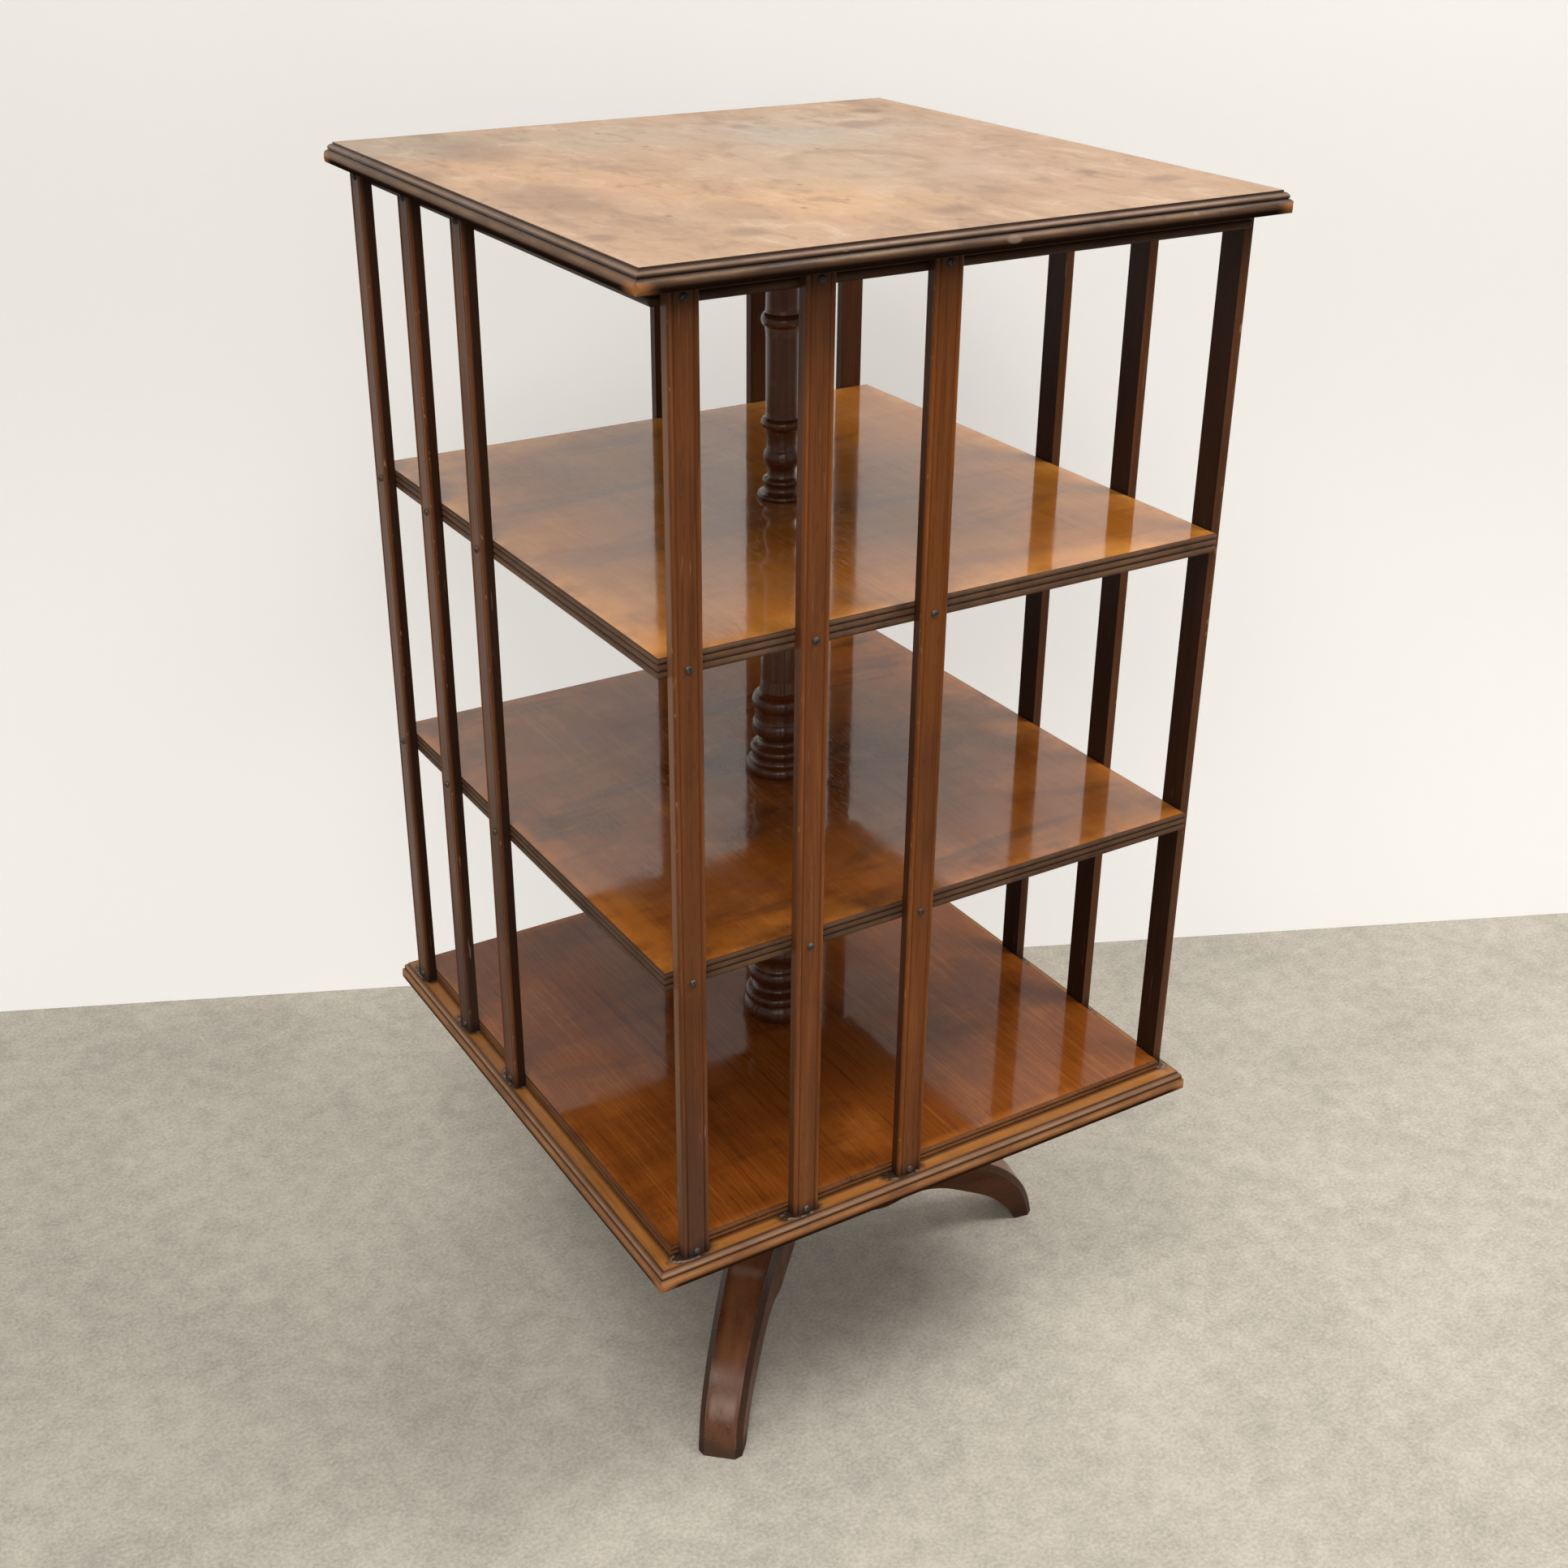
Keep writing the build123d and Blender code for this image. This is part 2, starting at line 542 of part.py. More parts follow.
# spindle: threaded foot, shaft, collar on the hub plate, shouldered threaded top
Z_STRAP_BOT = Z_HUB_BOT - STRAP_T
with BuildPart() as spindle:
    with BuildSketch(Plane.XZ):
        with BuildLine():
            trace([(0, 37), (THREAD_R - 1, 37), (THREAD_R, 38), (THREAD_R, Z_HUB_BOT),
                   (SPINDLE_R, Z_HUB_BOT), (SPINDLE_R, Z_HUB_PLATE_TOP), (COLLAR_R, Z_HUB_PLATE_TOP),
                   (COLLAR_R, RING_TOP), (SPINDLE_R, RING_TOP), (SPINDLE_R, Z_SHOULDER),
                   (THREAD_R, Z_SHOULDER), (THREAD_R, 990), (THREAD_R - 1, 991), (0, 991), (0, 37)])
        make_face()
    revolve(axis=Axis.Z)
spindle.part.label = "spindle"
export_step(spindle.part, "parts/spindle.step")

with BuildPart() as spindle_foot_washer:
    with BuildSketch(Plane.XY.offset(Z_STRAP_BOT)):
        Circle(11)
        Circle(THREAD_R, mode=Mode.SUBTRACT)
    extrude(amount=-1.6)
spindle_foot_washer.part.label = "spindle_foot_washer"
export_step(spindle_foot_washer.part, "parts/spindle_foot_washer.step")

with BuildPart() as spindle_foot_nut:
    with BuildSketch(Plane.XY.offset(Z_STRAP_BOT - 1.6)):
        RegularPolygon(radius=9.8, side_count=6)
        Circle(THREAD_R, mode=Mode.SUBTRACT)
    extrude(amount=-6)
spindle_foot_nut.part.label = "spindle_foot_nut"
export_step(spindle_foot_nut.part, "parts/spindle_foot_nut.step")

with BuildPart() as spindle_top_washer:
    with BuildSketch(Plane.XY.offset(Z_SHOULDER)):
        Circle(12)
        Circle(THREAD_R, mode=Mode.SUBTRACT)
    extrude(amount=1.6)
spindle_top_washer.part.label = "spindle_top_washer"
export_step(spindle_top_washer.part, "parts/spindle_top_washer.step")

with BuildPart() as spindle_top_nut:
    with BuildSketch(Plane.XY.offset(Z_SHOULDER + 1.6)):
        RegularPolygon(radius=9.8, side_count=6)
        Circle(THREAD_R, mode=Mode.SUBTRACT)
    extrude(amount=5.5)
spindle_top_nut.part.label = "spindle_top_nut"
export_step(spindle_top_nut.part, "parts/spindle_top_nut.step")

# ---------------------------------------------------------------- stand
HUB_TURNING = [(HUB_R, Z_HUB_BOT), (HUB_R, 83.0), (40.0, 85.2), (37.5, 85.8),
               (30.2, 89.2, 27.6, 95.0), (30.2, 95.8), (32.2, 98.4, 30.2, 101.2),
               (27.5, 102.0), (37.5, 140.0, 25.5, 188.0), (28.0, 189.5),
               (31.0, 194.0, 28.0, 198.5), (25.5, 199.5), (29.5, 216.0, 46.0, 227.0),
               (52.0, 228.5), (56.0, 230.5), (HUB_FLANGE_R, 232.0), (HUB_FLANGE_R, Z_HUB_TOP - 1.5),
               (HUB_FLANGE_R - 1.5, Z_HUB_TOP)]


def leg_plane(angle):
    """Upright plane along a leg: x outwards, y up."""
    a = radians(angle)
    return Plane(origin=(0, 0, 0), x_dir=(cos(a), sin(a), 0), z_dir=(sin(a), -cos(a), 0))


def leg_half_width(r):
    """A leg narrows from the hub to its toe."""
    return (LEG_HUB_W + (LEG_TOE_W - LEG_HUB_W) * (r - HUB_R) / (LEG_TOE_R - HUB_R)) / 2


with BuildPart() as hub_pillar:
    with BuildSketch(Plane.XZ):
        with BuildLine():
            turned(HUB_TURNING, SPINDLE_R)
        make_face()
    revolve(axis=Axis.Z)
    for angle in LEG_ANGLES.values():
        with BuildSketch(leg_plane(angle)):
            with Locations(((TENON_IN_R + HUB_R + 5) / 2, sum(TENON_Z) / 2)):
                Rectangle(HUB_R + 5 - TENON_IN_R, TENON_Z[1] - TENON_Z[0])
        extrude(amount=TENON_W / 2, both=True, mode=Mode.SUBTRACT)
    with BuildSketch(Plane.XY.offset(Z_HUB_TOP)):
        with Locations(*HUB_PLATE_SCREWS):
            Circle(CSK_R)
    extrude(amount=-10.5, mode=Mode.SUBTRACT)
hub_pillar.part.label = "hub_pillar"
export_step(hub_pillar.part, "parts/hub_pillar.step")

STRAP_SCREWS = {n: [(r * cos(radians(a)), r * sin(radians(a))) for r in STRAP_SCREW_R]
                for n, a in LEG_ANGLES.items()}
for name, angle in LEG_ANGLES.items():
    with BuildPart() as leg:
        with BuildSketch(leg_plane(angle)):
            with BuildLine():
                Line((38, Z_HUB_BOT), (96, Z_HUB_BOT))
                Spline((96, Z_HUB_BOT), (117, 55.6), (138, 59.6), (157, 57.6), (184, 46.6), (207, 35.0), (222, 23.0),
                       (231, 12.0), (LEG_HEEL_R, 0), tangents=((1, 0), (0.42, -1)))
                Line((LEG_HEEL_R, 0), (LEG_TOE_R, 0))
                # up over the knee to the crown, then down to the hub
                Spline((LEG_TOE_R, 0), (251.5, 24.0), (244.1, 38.5), (232.8, 52.0), (216.2, 65.0), (195.6, 76.0),
                       (172.0, 86.4), (148.0, 93.6), (124.0, 96.2), (98.0, 94.4), (68.0, 88.6), (38, LEG_HUB_TOP),
                       tangents=((-0.20, 1), (-1, -0.34)))
                Line((38, LEG_HUB_TOP), (38, Z_HUB_BOT))
            make_face()
        extrude(amount=LEG_HUB_W, both=True)
        with BuildSketch(Plane.XY.rotated((0, 0, angle)).offset(-5)):
            with BuildLine():
                Polyline((20, leg_half_width(20)), (LEG_TOE_R + 5, leg_half_width(LEG_TOE_R + 5)),
                         (LEG_TOE_R + 5, -leg_half_width(LEG_TOE_R + 5)), (20, -leg_half_width(20)), close=True)
            make_face()
        extrude(amount=130, mode=Mode.INTERSECT)
        # the two long edges of its back
        chamfer(leg.edges().sort_by(SortBy.LENGTH)[-2:], LEG_CHAMFER)
        # end shaped to the hub, with a tenon
        with BuildSketch(Plane.XY.offset(40)):
            Circle(HUB_R)
        extrude(amount=90, mode=Mode.SUBTRACT)
        with BuildSketch(leg_plane(angle)):
            with Locations(((TENON_IN_R + HUB_R + 5) / 2, sum(TENON_Z) / 2)):
                Rectangle(HUB_R + 5 - TENON_IN_R, TENON_Z[1] - TENON_Z[0])
        extrude(amount=TENON_W / 2, both=True)
        with BuildSketch(Plane.XY.offset(Z_HUB_BOT)):
            with Locations(*STRAP_SCREWS[name]):
                Circle(CSK_R)
        extrude(amount=14, mode=Mode.SUBTRACT)
    leg.part.label = name
    export_step(leg.part, f"parts/{name}.step")

# iron plate with three arms under hub and legs
with BuildPart() as leg_plate:
    with BuildSketch(Plane.XY.offset(Z_STRAP_BOT)):
        Circle(30)
        for angle in LEG_ANGLES.values():
            with Locations(Location((0, 0, 0), (0, 0, angle)) * Location((STRAP_R / 2, 0, 0))):
                Rectangle(STRAP_R, STRAP_W)
        Circle(THREAD_R, mode=Mode.SUBTRACT)
        for points in STRAP_SCREWS.values():
            with Locations(*points):
                Circle(CSK_R, mode=Mode.SUBTRACT)
    extrude(amount=STRAP_T)
    with Locations(*[(x, y, Z_STRAP_BOT + CSK_HEAD_H / 2) for pts in STRAP_SCREWS.values() for x, y in pts]):
        Cone(CSK_HEAD_R, CSK_R, CSK_HEAD_H, mode=Mode.SUBTRACT)
leg_plate.part.label = "leg_plate"
export_step(leg_plate.part, "parts/leg_plate.step")

# ---------------------------------------------------------------- countersunk screws


def csk_profile(length):
    """Half section of a countersunk screw: flat of the head at z = 0, point down."""
    return [(0, 0), (CSK_HEAD_R, 0), (CSK_R, -CSK_HEAD_H), (CSK_R, -length + 2.5),
            (0.3, -length), (0, -length), (0, 0)]


with BuildPart() as long_screw:
    with BuildSketch(Plane.XZ):
        with BuildLine():
            trace(csk_profile(20.5))
        make_face()
    revolve(axis=Axis.Z)
    Box(CSK_HEAD_R * 2.2, 0.9, 2.0, mode=Mode.SUBTRACT)

with BuildPart() as short_screw:
    with BuildSketch(Plane.XZ):
        with BuildLine():
            trace(csk_profile(14.0))
        make_face()
    revolve(axis=Axis.Z)
    Box(CSK_HEAD_R * 2.2, 0.9, 2.0, mode=Mode.SUBTRACT)

FLIP = Rotation(180, 0, 0)

with BuildPart() as top_board_screws:
    for k, (x, y) in enumerate(BOARD_SCREWS):
        with Locations(Location((x, y, Z_UNDER_BOT)) * FLIP * Rotation(0, 0, SLOT_TURNS[k])):
            add(long_screw.part)
top_board_screws.part.label = "top_board_screws"
export_step(top_board_screws.part, "parts/top_board_screws.step")

with BuildPart() as bottom_shelf_screws:
    for k, (x, y) in enumerate(BOARD_SCREWS):
        with Locations(Location((x, y, Z_BASE_BOT)) * FLIP * Rotation(0, 0, SLOT_TURNS[k + 3])):
            add(long_screw.part)
bottom_shelf_screws.part.label = "bottom_shelf_screws"
export_step(bottom_shelf_screws.part, "parts/bottom_shelf_screws.step")

with BuildPart() as base_plate_screws:
    for k, (x, y) in enumerate(BASE_PLATE_SCREWS):
        with Locations(Location((x, y, Z_BASE_PLATE_BOT)) * FLIP * Rotation(0, 0, SLOT_TURNS[k])):
            add(short_screw.part)
base_plate_screws.part.label = "base_plate_screws"
export_step(base_plate_screws.part, "parts/base_plate_screws.step")

with BuildPart() as hub_plate_screws:
    for k, (x, y) in enumerate(HUB_PLATE_SCREWS):
        with Locations(Location((x, y, Z_HUB_PLATE_TOP)) * Rotation(0, 0, SLOT_TURNS[k])):
            add(short_screw.part)
hub_plate_screws.part.label = "hub_plate_screws"
export_step(hub_plate_screws.part, "parts/hub_plate_screws.step")

with BuildPart() as leg_plate_screws:
    k = 0
    for points in STRAP_SCREWS.values():
        for x, y in points:
            with Locations(Location((x, y, Z_STRAP_BOT)) * FLIP * Rotation(0, 0, SLOT_TURNS[k])):
                add(short_screw.part)
            k += 1
leg_plate_screws.part.label = "leg_plate_screws"
export_step(leg_plate_screws.part, "parts/leg_plate_screws.step")
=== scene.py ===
import bpy
from math import sin, cos, radians
from mathutils import Matrix, Vector

# Looks of a three-tier revolving bookcase: faded mahogany top, polished shelves,
# dark reeded slats, turned columns, arched legs, iron and brass fittings.

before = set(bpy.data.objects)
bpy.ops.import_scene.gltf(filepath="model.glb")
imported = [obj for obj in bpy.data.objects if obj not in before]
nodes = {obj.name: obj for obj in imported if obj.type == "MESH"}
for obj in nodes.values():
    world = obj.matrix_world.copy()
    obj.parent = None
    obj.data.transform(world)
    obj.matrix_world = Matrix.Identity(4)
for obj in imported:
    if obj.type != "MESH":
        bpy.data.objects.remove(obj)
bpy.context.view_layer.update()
scene = bpy.context.scene

# ---------------------------------------------------------------- camera
YAW, PITCH, ROLL = radians(31.670), radians(-26.808), radians(0.5423)
fwd = Vector((sin(YAW) * cos(PITCH), cos(YAW) * cos(PITCH), sin(PITCH)))
side = fwd.cross(Vector((0, 0, 1))).normalized()
up = side.cross(fwd)
cam_x = cos(ROLL) * side + sin(ROLL) * up
cam_y = -sin(ROLL) * side + cos(ROLL) * up
cam_data = bpy.data.cameras.new("camera")
cam_data.sensor_width = 36.0
cam_data.lens = 36.0 * 2450.44 / 1932.0
cam_data.clip_start, cam_data.clip_end = 0.05, 30.0
cam = bpy.data.objects.new("camera", cam_data)
scene.collection.objects.link(cam)
cam.matrix_world = Matrix((
    (cam_x.x, cam_y.x, -fwd.x, -0.77074),
    (cam_x.y, cam_y.y, -fwd.y, -1.25725),
    (cam_x.z, cam_y.z, -fwd.z, 1.24398),
    (0, 0, 0, 1)))
scene.camera = cam
scene.view_settings.view_transform = "Standard"


# ---------------------------------------------------------------- node helper
class Graph:
    """Builds a material's node tree; every call returns an output socket."""

    def __init__(self, name):
        self.mat = bpy.data.materials.new(name)
        self.mat.use_nodes = True
        self.t = self.mat.node_tree
        self.t.nodes.clear()
        self.out = self.t.nodes.new("ShaderNodeOutputMaterial")
        self.bsdf = self.t.nodes.new("ShaderNodeBsdfPrincipled")
        self.t.links.new(self.bsdf.outputs[0], self.out.inputs[0])
        tc = self.t.nodes.new("ShaderNodeTexCoord")
        self.P = tc.outputs["Object"]
        s = self.node("ShaderNodeSeparateXYZ", {0: self.P})
        self.x, self.y, self.z = s.outputs

    def node(self, kind, inputs=None, **props):
        n = self.t.nodes.new(kind)
        for k, v in props.items():
            setattr(n, k, v)
        for k, v in (inputs or {}).items():
            self.put(n.inputs[k], v)
        return n

    def put(self, socket, v):
        if isinstance(v, bpy.types.NodeSocket):
            self.t.links.new(v, socket)
        elif isinstance(v, (tuple, list)) and len(v) == 3 and socket.type == "RGBA":
            socket.default_value = (*v, 1.0)
        else:
            socket.default_value = v

    def m(self, op, a, b=None, c=None, clamp=False):
        n = self.node("ShaderNodeMath", operation=op, use_clamp=clamp)
        for i, v in enumerate((a, b, c)):
            if v is not None:
                self.put(n.inputs[i], v)
        return n.outputs[0]

    def add(self, a, b): return self.m("ADD", a, b)
    def sub(self, a, b): return self.m("SUBTRACT", a, b)
    def mul(self, a, b): return self.m("MULTIPLY", a, b)
    def inv(self, a): return self.m("SUBTRACT", 1.0, a)
    def ab(self, a): return self.m("ABSOLUTE", a)
    def mx(self, a, b): return self.m("MAXIMUM", a, b)
    def mn(self, a, b): return self.m("MINIMUM", a, b)

    def step(self, v, a, b, lo=0.0, hi=1.0):
        """Smooth step of v from a to b, giving lo to hi."""
        n = self.node("ShaderNodeMapRange", {0: v, 1: a, 2: b, 3: lo, 4: hi},
                      interpolation_type="SMOOTHSTEP")
        return n.outputs[0]

    def lin(self, v, a, b, lo=0.0, hi=1.0):
        n = self.node("ShaderNodeMapRange", {0: v, 1: a, 2: b, 3: lo, 4: hi}, clamp=True)
        return n.outputs[0]

    def near(self, v, centre, width):
        """1 at centre, falling to 0 at width away."""
        return self.step(self.ab(self.sub(v, centre)), width, 0.0)

    def mix(self, f, a, b, blend="MIX"):
        n = self.node("ShaderNodeMix", data_type="RGBA", blend_type=blend, clamp_factor=True)
        self.put(n.inputs[0], f)
        self.put(n.inputs[6], a)
        self.put(n.inputs[7], b)
        return n.outputs[2]

    def ramp(self, f, stops, interp="EASE"):
        n = self.node("ShaderNodeValToRGB", {0: f})
        r = n.color_ramp
        r.interpolation = interp
        while len(r.elements) < len(stops):
            r.elements.new(0.5)
        for e, (p, c) in zip(r.elements, stops):
            e.position = p
            e.color = (*c, 1.0) if isinstance(c, tuple) else (c, c, c, 1.0)
        return n.outputs[0]

    def map(self, scale, loc=(0, 0, 0), vec=None, rot=(0, 0, 0)):
        n = self.node("ShaderNodeMapping", {0: vec or self.P, 1: loc, 2: rot, 3: scale})
        return n.outputs[0]

    def vec(self, x, y, z):
        return self.node("ShaderNodeCombineXYZ", {0: x, 1: y, 2: z}).outputs[0]

    def noise(self, vec, scale=1.0, detail=2.0, rough=0.5, warp=0.0):
        n = self.node("ShaderNodeTexNoise", {"Vector": vec, "Scale": scale, "Detail": detail,
                                             "Roughness": rough, "Distortion": warp})
        return n.outputs[0]

    def cells(self, vec, scale=1.0, feature="F1", jitter=1.0):
        n = self.node("ShaderNodeTexVoronoi", {"Vector": vec, "Scale": scale, "Randomness": jitter},
                      feature=feature)
        return n.outputs

    def dist(self, px, py, sx=1.0, sy=1.0, vx=None, vy=None):
        """Distance on the XY plane from a spot, stretched by sx and sy."""
        dx = self.mul(self.sub(vx or self.x, px), 1.0 / sx)
        dy = self.mul(self.sub(vy or self.y, py), 1.0 / sy)
        return self.m("SQRT", self.add(self.mul(dx, dx), self.mul(dy, dy)))

    def surface(self, color, rough, bump=None, bump_d=0.0002, spec=None, tint=None, metal=None, ior=None):
        b = self.bsdf.inputs
        self.put(b["Base Color"], color)
        self.put(b["Roughness"], rough)
        if spec is not None:
            self.put(b["Specular IOR Level"], spec)
        if ior is not None:
            b["IOR"].default_value = ior
        if tint is not None:
            b["Specular Tint"].default_value = (*tint, 1.0)
        if metal is not None:
            b["Metallic"].default_value = metal
        if bump is not None:
            n = self.node("ShaderNodeBump", {"Strength": 1.0, "Distance": bump_d, "Height": bump})
            self.t.links.new(n.outputs[0], b["Normal"])
        return self.mat


AX = {"x": 0, "y": 1, "z": 2}


def stretched(axis, across, along):
    s = [across] * 3
    s[AX[axis]] = along
    return tuple(s)


def grain(g, axis, off, stops, bands=0.55, streaks=0.5, lines=0.35, curl=0.0, vec=None):
    """Mahogany: broad ribbons, streaks and fine lines along the grain, with dark
    pores. Returns colour, pore mask and the tone that the colour came from."""
    warp_n = g.noise(g.map(stretched(axis, 5, 1.6), off, vec), 1.0, 2.0, 0.5)
    warp = g.mul(g.sub(warp_n, 0.5), 0.02)
    v = g.node("ShaderNodeVectorMath", {0: vec or g.P, 1: g.vec(warp, warp, warp)}, operation="ADD").outputs[0]
    n1 = g.noise(g.map(stretched(axis, 16, 1.3), off, v), 1.0, 2.0, 0.5)
    n2 = g.noise(g.map(stretched(axis, 85, 3.5), off, v), 1.0, 3.0, 0.55)
    n3 = g.noise(g.map(stretched(axis, 520, 9), off, v), 1.0, 2.0, 0.6)
    t = g.add(0.5, g.mul(g.sub(n1, 0.5), bands * 2))
    t = g.add(t, g.mul(g.sub(n2, 0.5), streaks * 1.6))
    t = g.add(t, g.mul(g.sub(n3, 0.5), lines * 1.4))
    if curl:
        c = g.noise(g.map(stretched(axis, 7, 22), off, v), 1.0, 3.0, 0.55, 0.9)
        area = g.step(g.noise(g.map((4, 4, 4), off, vec), 1.0, 1.0), 0.42, 0.62)
        t = g.add(t, g.mul(g.mul(g.sub(c, 0.5), curl * 2.2), g.add(0.25, g.mul(area, 0.75))))
    col = g.ramp(t, stops)
    pn = g.noise(g.map(stretched(axis, 1500, 85), off, vec), 1.0, 1.0, 0.5)
    pores = g.step(pn, 0.60, 0.70)
    return col, pores, t


# ---------------------------------------------------------------- materials
def moulding(g, levels, dark, mid, light, crest_highlight, ovolo_highlight, off, shade=0.0):
    """Colours of a moulded edge by height: rounded member, notch, quarter-round, small step."""
    z0, z1, z2, z3 = levels
    facing_y = g.m("GREATER_THAN", g.ab(g.y), g.ab(g.x))
    u = g.add(g.y, g.mul(facing_y, g.sub(g.x, g.y)))                    # along the edge
    v = g.vec(u, facing_y, g.z)
    wear = g.noise(g.map((16, 3.1, 60), off, v), 1.0, 4.0, 0.65)
    line = g.noise(g.map((30, 3.1, 900), off, v), 1.0, 2.0, 0.6)
    t = g.add(g.add(0.5, g.mul(g.sub(wear, 0.5), 1.1)), g.mul(g.sub(line, 0.5), 0.6))
    col = g.ramp(t, [(0.15, dark), (0.5, mid), (0.85, light)])
    if shade:                                                           # painted shade: the front and back edges darker than the left and right ones
        col = g.mix(g.mul(facing_y, shade), col, tuple(0.4 * c for c in dark))
    # rounded member: painted shade on its underside, and a painted highlight along its crest, patchy with wear
    zc = 0.48 * z0 + 0.52 * z1
    col = g.mix(g.step(g.z, zc + 0.0006, z0 + 0.0028, 0.0, 0.93), col, tuple(0.16 * c for c in dark))
    col = g.mix(g.mul(g.near(g.z, zc + 0.0024, 0.0019), g.step(wear, 0.36, 0.64, 0.10, 0.85)), col, crest_highlight)
    # quarter-round: painted shade over it, with a painted highlight line along its upper part, patchy with wear
    zm = 0.40 * z2 + 0.60 * z3
    ov = g.mul(g.step(g.z, z2 - 0.0001, z2 + 0.0004), g.step(g.z, z3 + 0.0002, z3 - 0.0003))
    col = g.mix(g.mul(ov, 0.7), col, dark)
    col = g.mix(g.mul(g.mul(ov, g.near(g.z, zm, 0.0016)), g.step(wear, 0.30, 0.62, 0.45, 0.95)), col, ovolo_highlight)
    # painted shade in the notch; the small step at the top darker, patchy with wear
    col = g.mix(g.mul(g.near(g.z, 0.5 * (z1 + z2), 0.0011), 0.92), col, (0.010, 0.006, 0.004))
    col = g.mix(g.mul(g.step(g.z, z3 - 0.0002, z3 + 0.0001), g.step(wear, 0.35, 0.6, 0.75, 0.35)), col, (0.060, 0.038, 0.027))
    low = g.step(g.z, zc + 0.0012, zc - 0.0008)                         # underside of the rounded member
    return col, wear, low


def top_material():
    g = Graph("top_wood")
    off = (0.31, 0.77, 0.13)
    col, pores, t = grain(g, "y", off, [(0.05, (0.235, 0.118, 0.060)), (0.5, (0.395, 0.230, 0.130)),
                                        (0.95, (0.510, 0.330, 0.205))], 0.45, 0.34, 0.20)
    # fading: cloudy patches, orange towards the left, grey and pale towards the back
    n = g.noise(g.map((7, 7, 7), (0.4, 0.2, 0.0)), 1.0, 6.0, 0.66)
    n2 = g.noise(g.map((11, 6, 7), (1.4, 3.2, 0.0)), 1.0, 6.0, 0.68)
    n3 = g.noise(g.map((40, 24, 7), (4.4, 0.2, 0.7)), 1.0, 5.0, 0.64, 0.6)
    n4 = g.noise(g.map((150, 80, 7), (2.4, 1.2, 0.7)), 1.0, 4.0, 0.62, 0.4)
    cloud = g.mul(g.sub(n2, 0.5), 1.5)
    for sx, sy, rx, ry, f, tone in ((-0.055, -0.120, 0.085, 0.085, 0.75, (0.515, 0.290, 0.132)),
                                    (-0.190, 0.055, 0.065, 0.085, 0.65, (0.500, 0.275, 0.135)),
                                    (-0.125, -0.020, 0.055, 0.075, 0.55, (0.500, 0.265, 0.124)),
                                    (0.095, 0.125, 0.110, 0.100, 0.80, (0.365, 0.300, 0.236)),
                                    (-0.055, 0.170, 0.090, 0.070, 0.60, (0.375, 0.295, 0.222)),
                                    (-0.210, 0.205, 0.095, 0.075, 0.75, (0.275, 0.205, 0.132)),
                                    (0.165, -0.060, 0.080, 0.130, 0.45, (0.385, 0.225, 0.145))):
        col = g.mix(g.step(g.add(g.dist(sx, sy, rx, ry), cloud), 1.35, 0.25, 0.0, f), col, tone)
    col = g.mix(g.step(n, 0.46, 0.70, 0.0, 0.50), col, (0.480, 0.355, 0.250))
    col = g.mix(g.step(n2, 0.50, 0.70, 0.0, 0.50), col, (0.225, 0.132, 0.082))
    col = g.mix(g.step(n3, 0.52, 0.70, 0.0, 0.55), col, (0.215, 0.125, 0.076))
    col = g.mix(g.step(n3, 0.46, 0.30, 0.0, 0.45), col, (0.550, 0.400, 0.280))
    col = g.mix(g.step(n4, 0.56, 0.72, 0.0, 0.25), col, (0.180, 0.105, 0.066))
    # ring left by a pot, and the pale ground round it
    wob = g.mul(g.sub(g.noise(g.map((30, 30, 1)), 1.0, 2.0), 0.5), 0.010)
    d = g.add(g.dist(0.052, -0.022, 1.0, 1.08), wob)
    col = g.mix(g.step(d, 0.15, 0.02, 0.0, 0.38), col, (0.425, 0.335, 0.232))
    col = g.mix(g.mul(g.near(d, 0.051, 0.014), g.step(n, 0.3, 0.6, 0.15, 0.75)), col, (0.285, 0.170, 0.080))
    d2 = g.add(g.dist(0.185, -0.05, 1.0, 0.8), wob)
    col = g.mix(g.mul(g.near(d2, 0.046, 0.009), g.step(g.y, -0.06, 0.02, 0.0, 0.65)), col, (0.27, 0.145, 0.075))
    # darker stains
    for sx, sy, rx, ry, f in ((-0.200, -0.035, 0.040, 0.075, 0.40), (-0.115, -0.135, 0.035, 0.045, 0.30),
                              (-0.175, 0.150, 0.035, 0.060, 0.35), (0.196, 0.188, 0.020, 0.018, 0.65),
                              (0.150, 0.132, 0.026, 0.022, 0.52), (-0.145, -0.192, 0.018, 0.016, 0.48),
                              (0.010, -0.196, 0.024, 0.016, 0.45), (0.172, -0.13, 0.012, 0.012, 0.6),
                              (-0.23, -0.165, 0.014, 0.014, 0.55), (0.06, 0.165, 0.012, 0.014, 0.45),
                              (0.205, -0.175, 0.016, 0.014, 0.50), (0.075, -0.150, 0.014, 0.018, 0.40)):
        ds = g.add(g.dist(sx, sy, rx, ry), g.mul(g.sub(n2, 0.5), 1.6))
        col = g.mix(g.step(ds, 1.15, 0.35, 0.0, f), col, (0.150, 0.080, 0.050))
    # flecks and fine pale scratches
    cell = g.cells(g.map((46, 38, 1), (0.3, 0.1, 0)), 1.0)
    fleck = g.mul(g.step(cell[0], 0.16, 0.05), g.step(g.node("ShaderNodeSeparateColor", {0: cell[1]}).outputs[0], 0.66, 0.78))
    col = g.mix(g.mul(fleck, 0.65), col, (0.11, 0.058, 0.040))
    scr = g.noise(g.map((26, 520, 1), (0.9, 0.4, 0), None, (0, 0, radians(24))), 1.0, 1.0, 0.4)
    col = g.mix(g.mul(g.step(scr, 0.72, 0.76), 0.5), col, (0.50, 0.38, 0.30))
    col = g.mix(g.mul(pores, 0.18), col, (0.13, 0.066, 0.042))
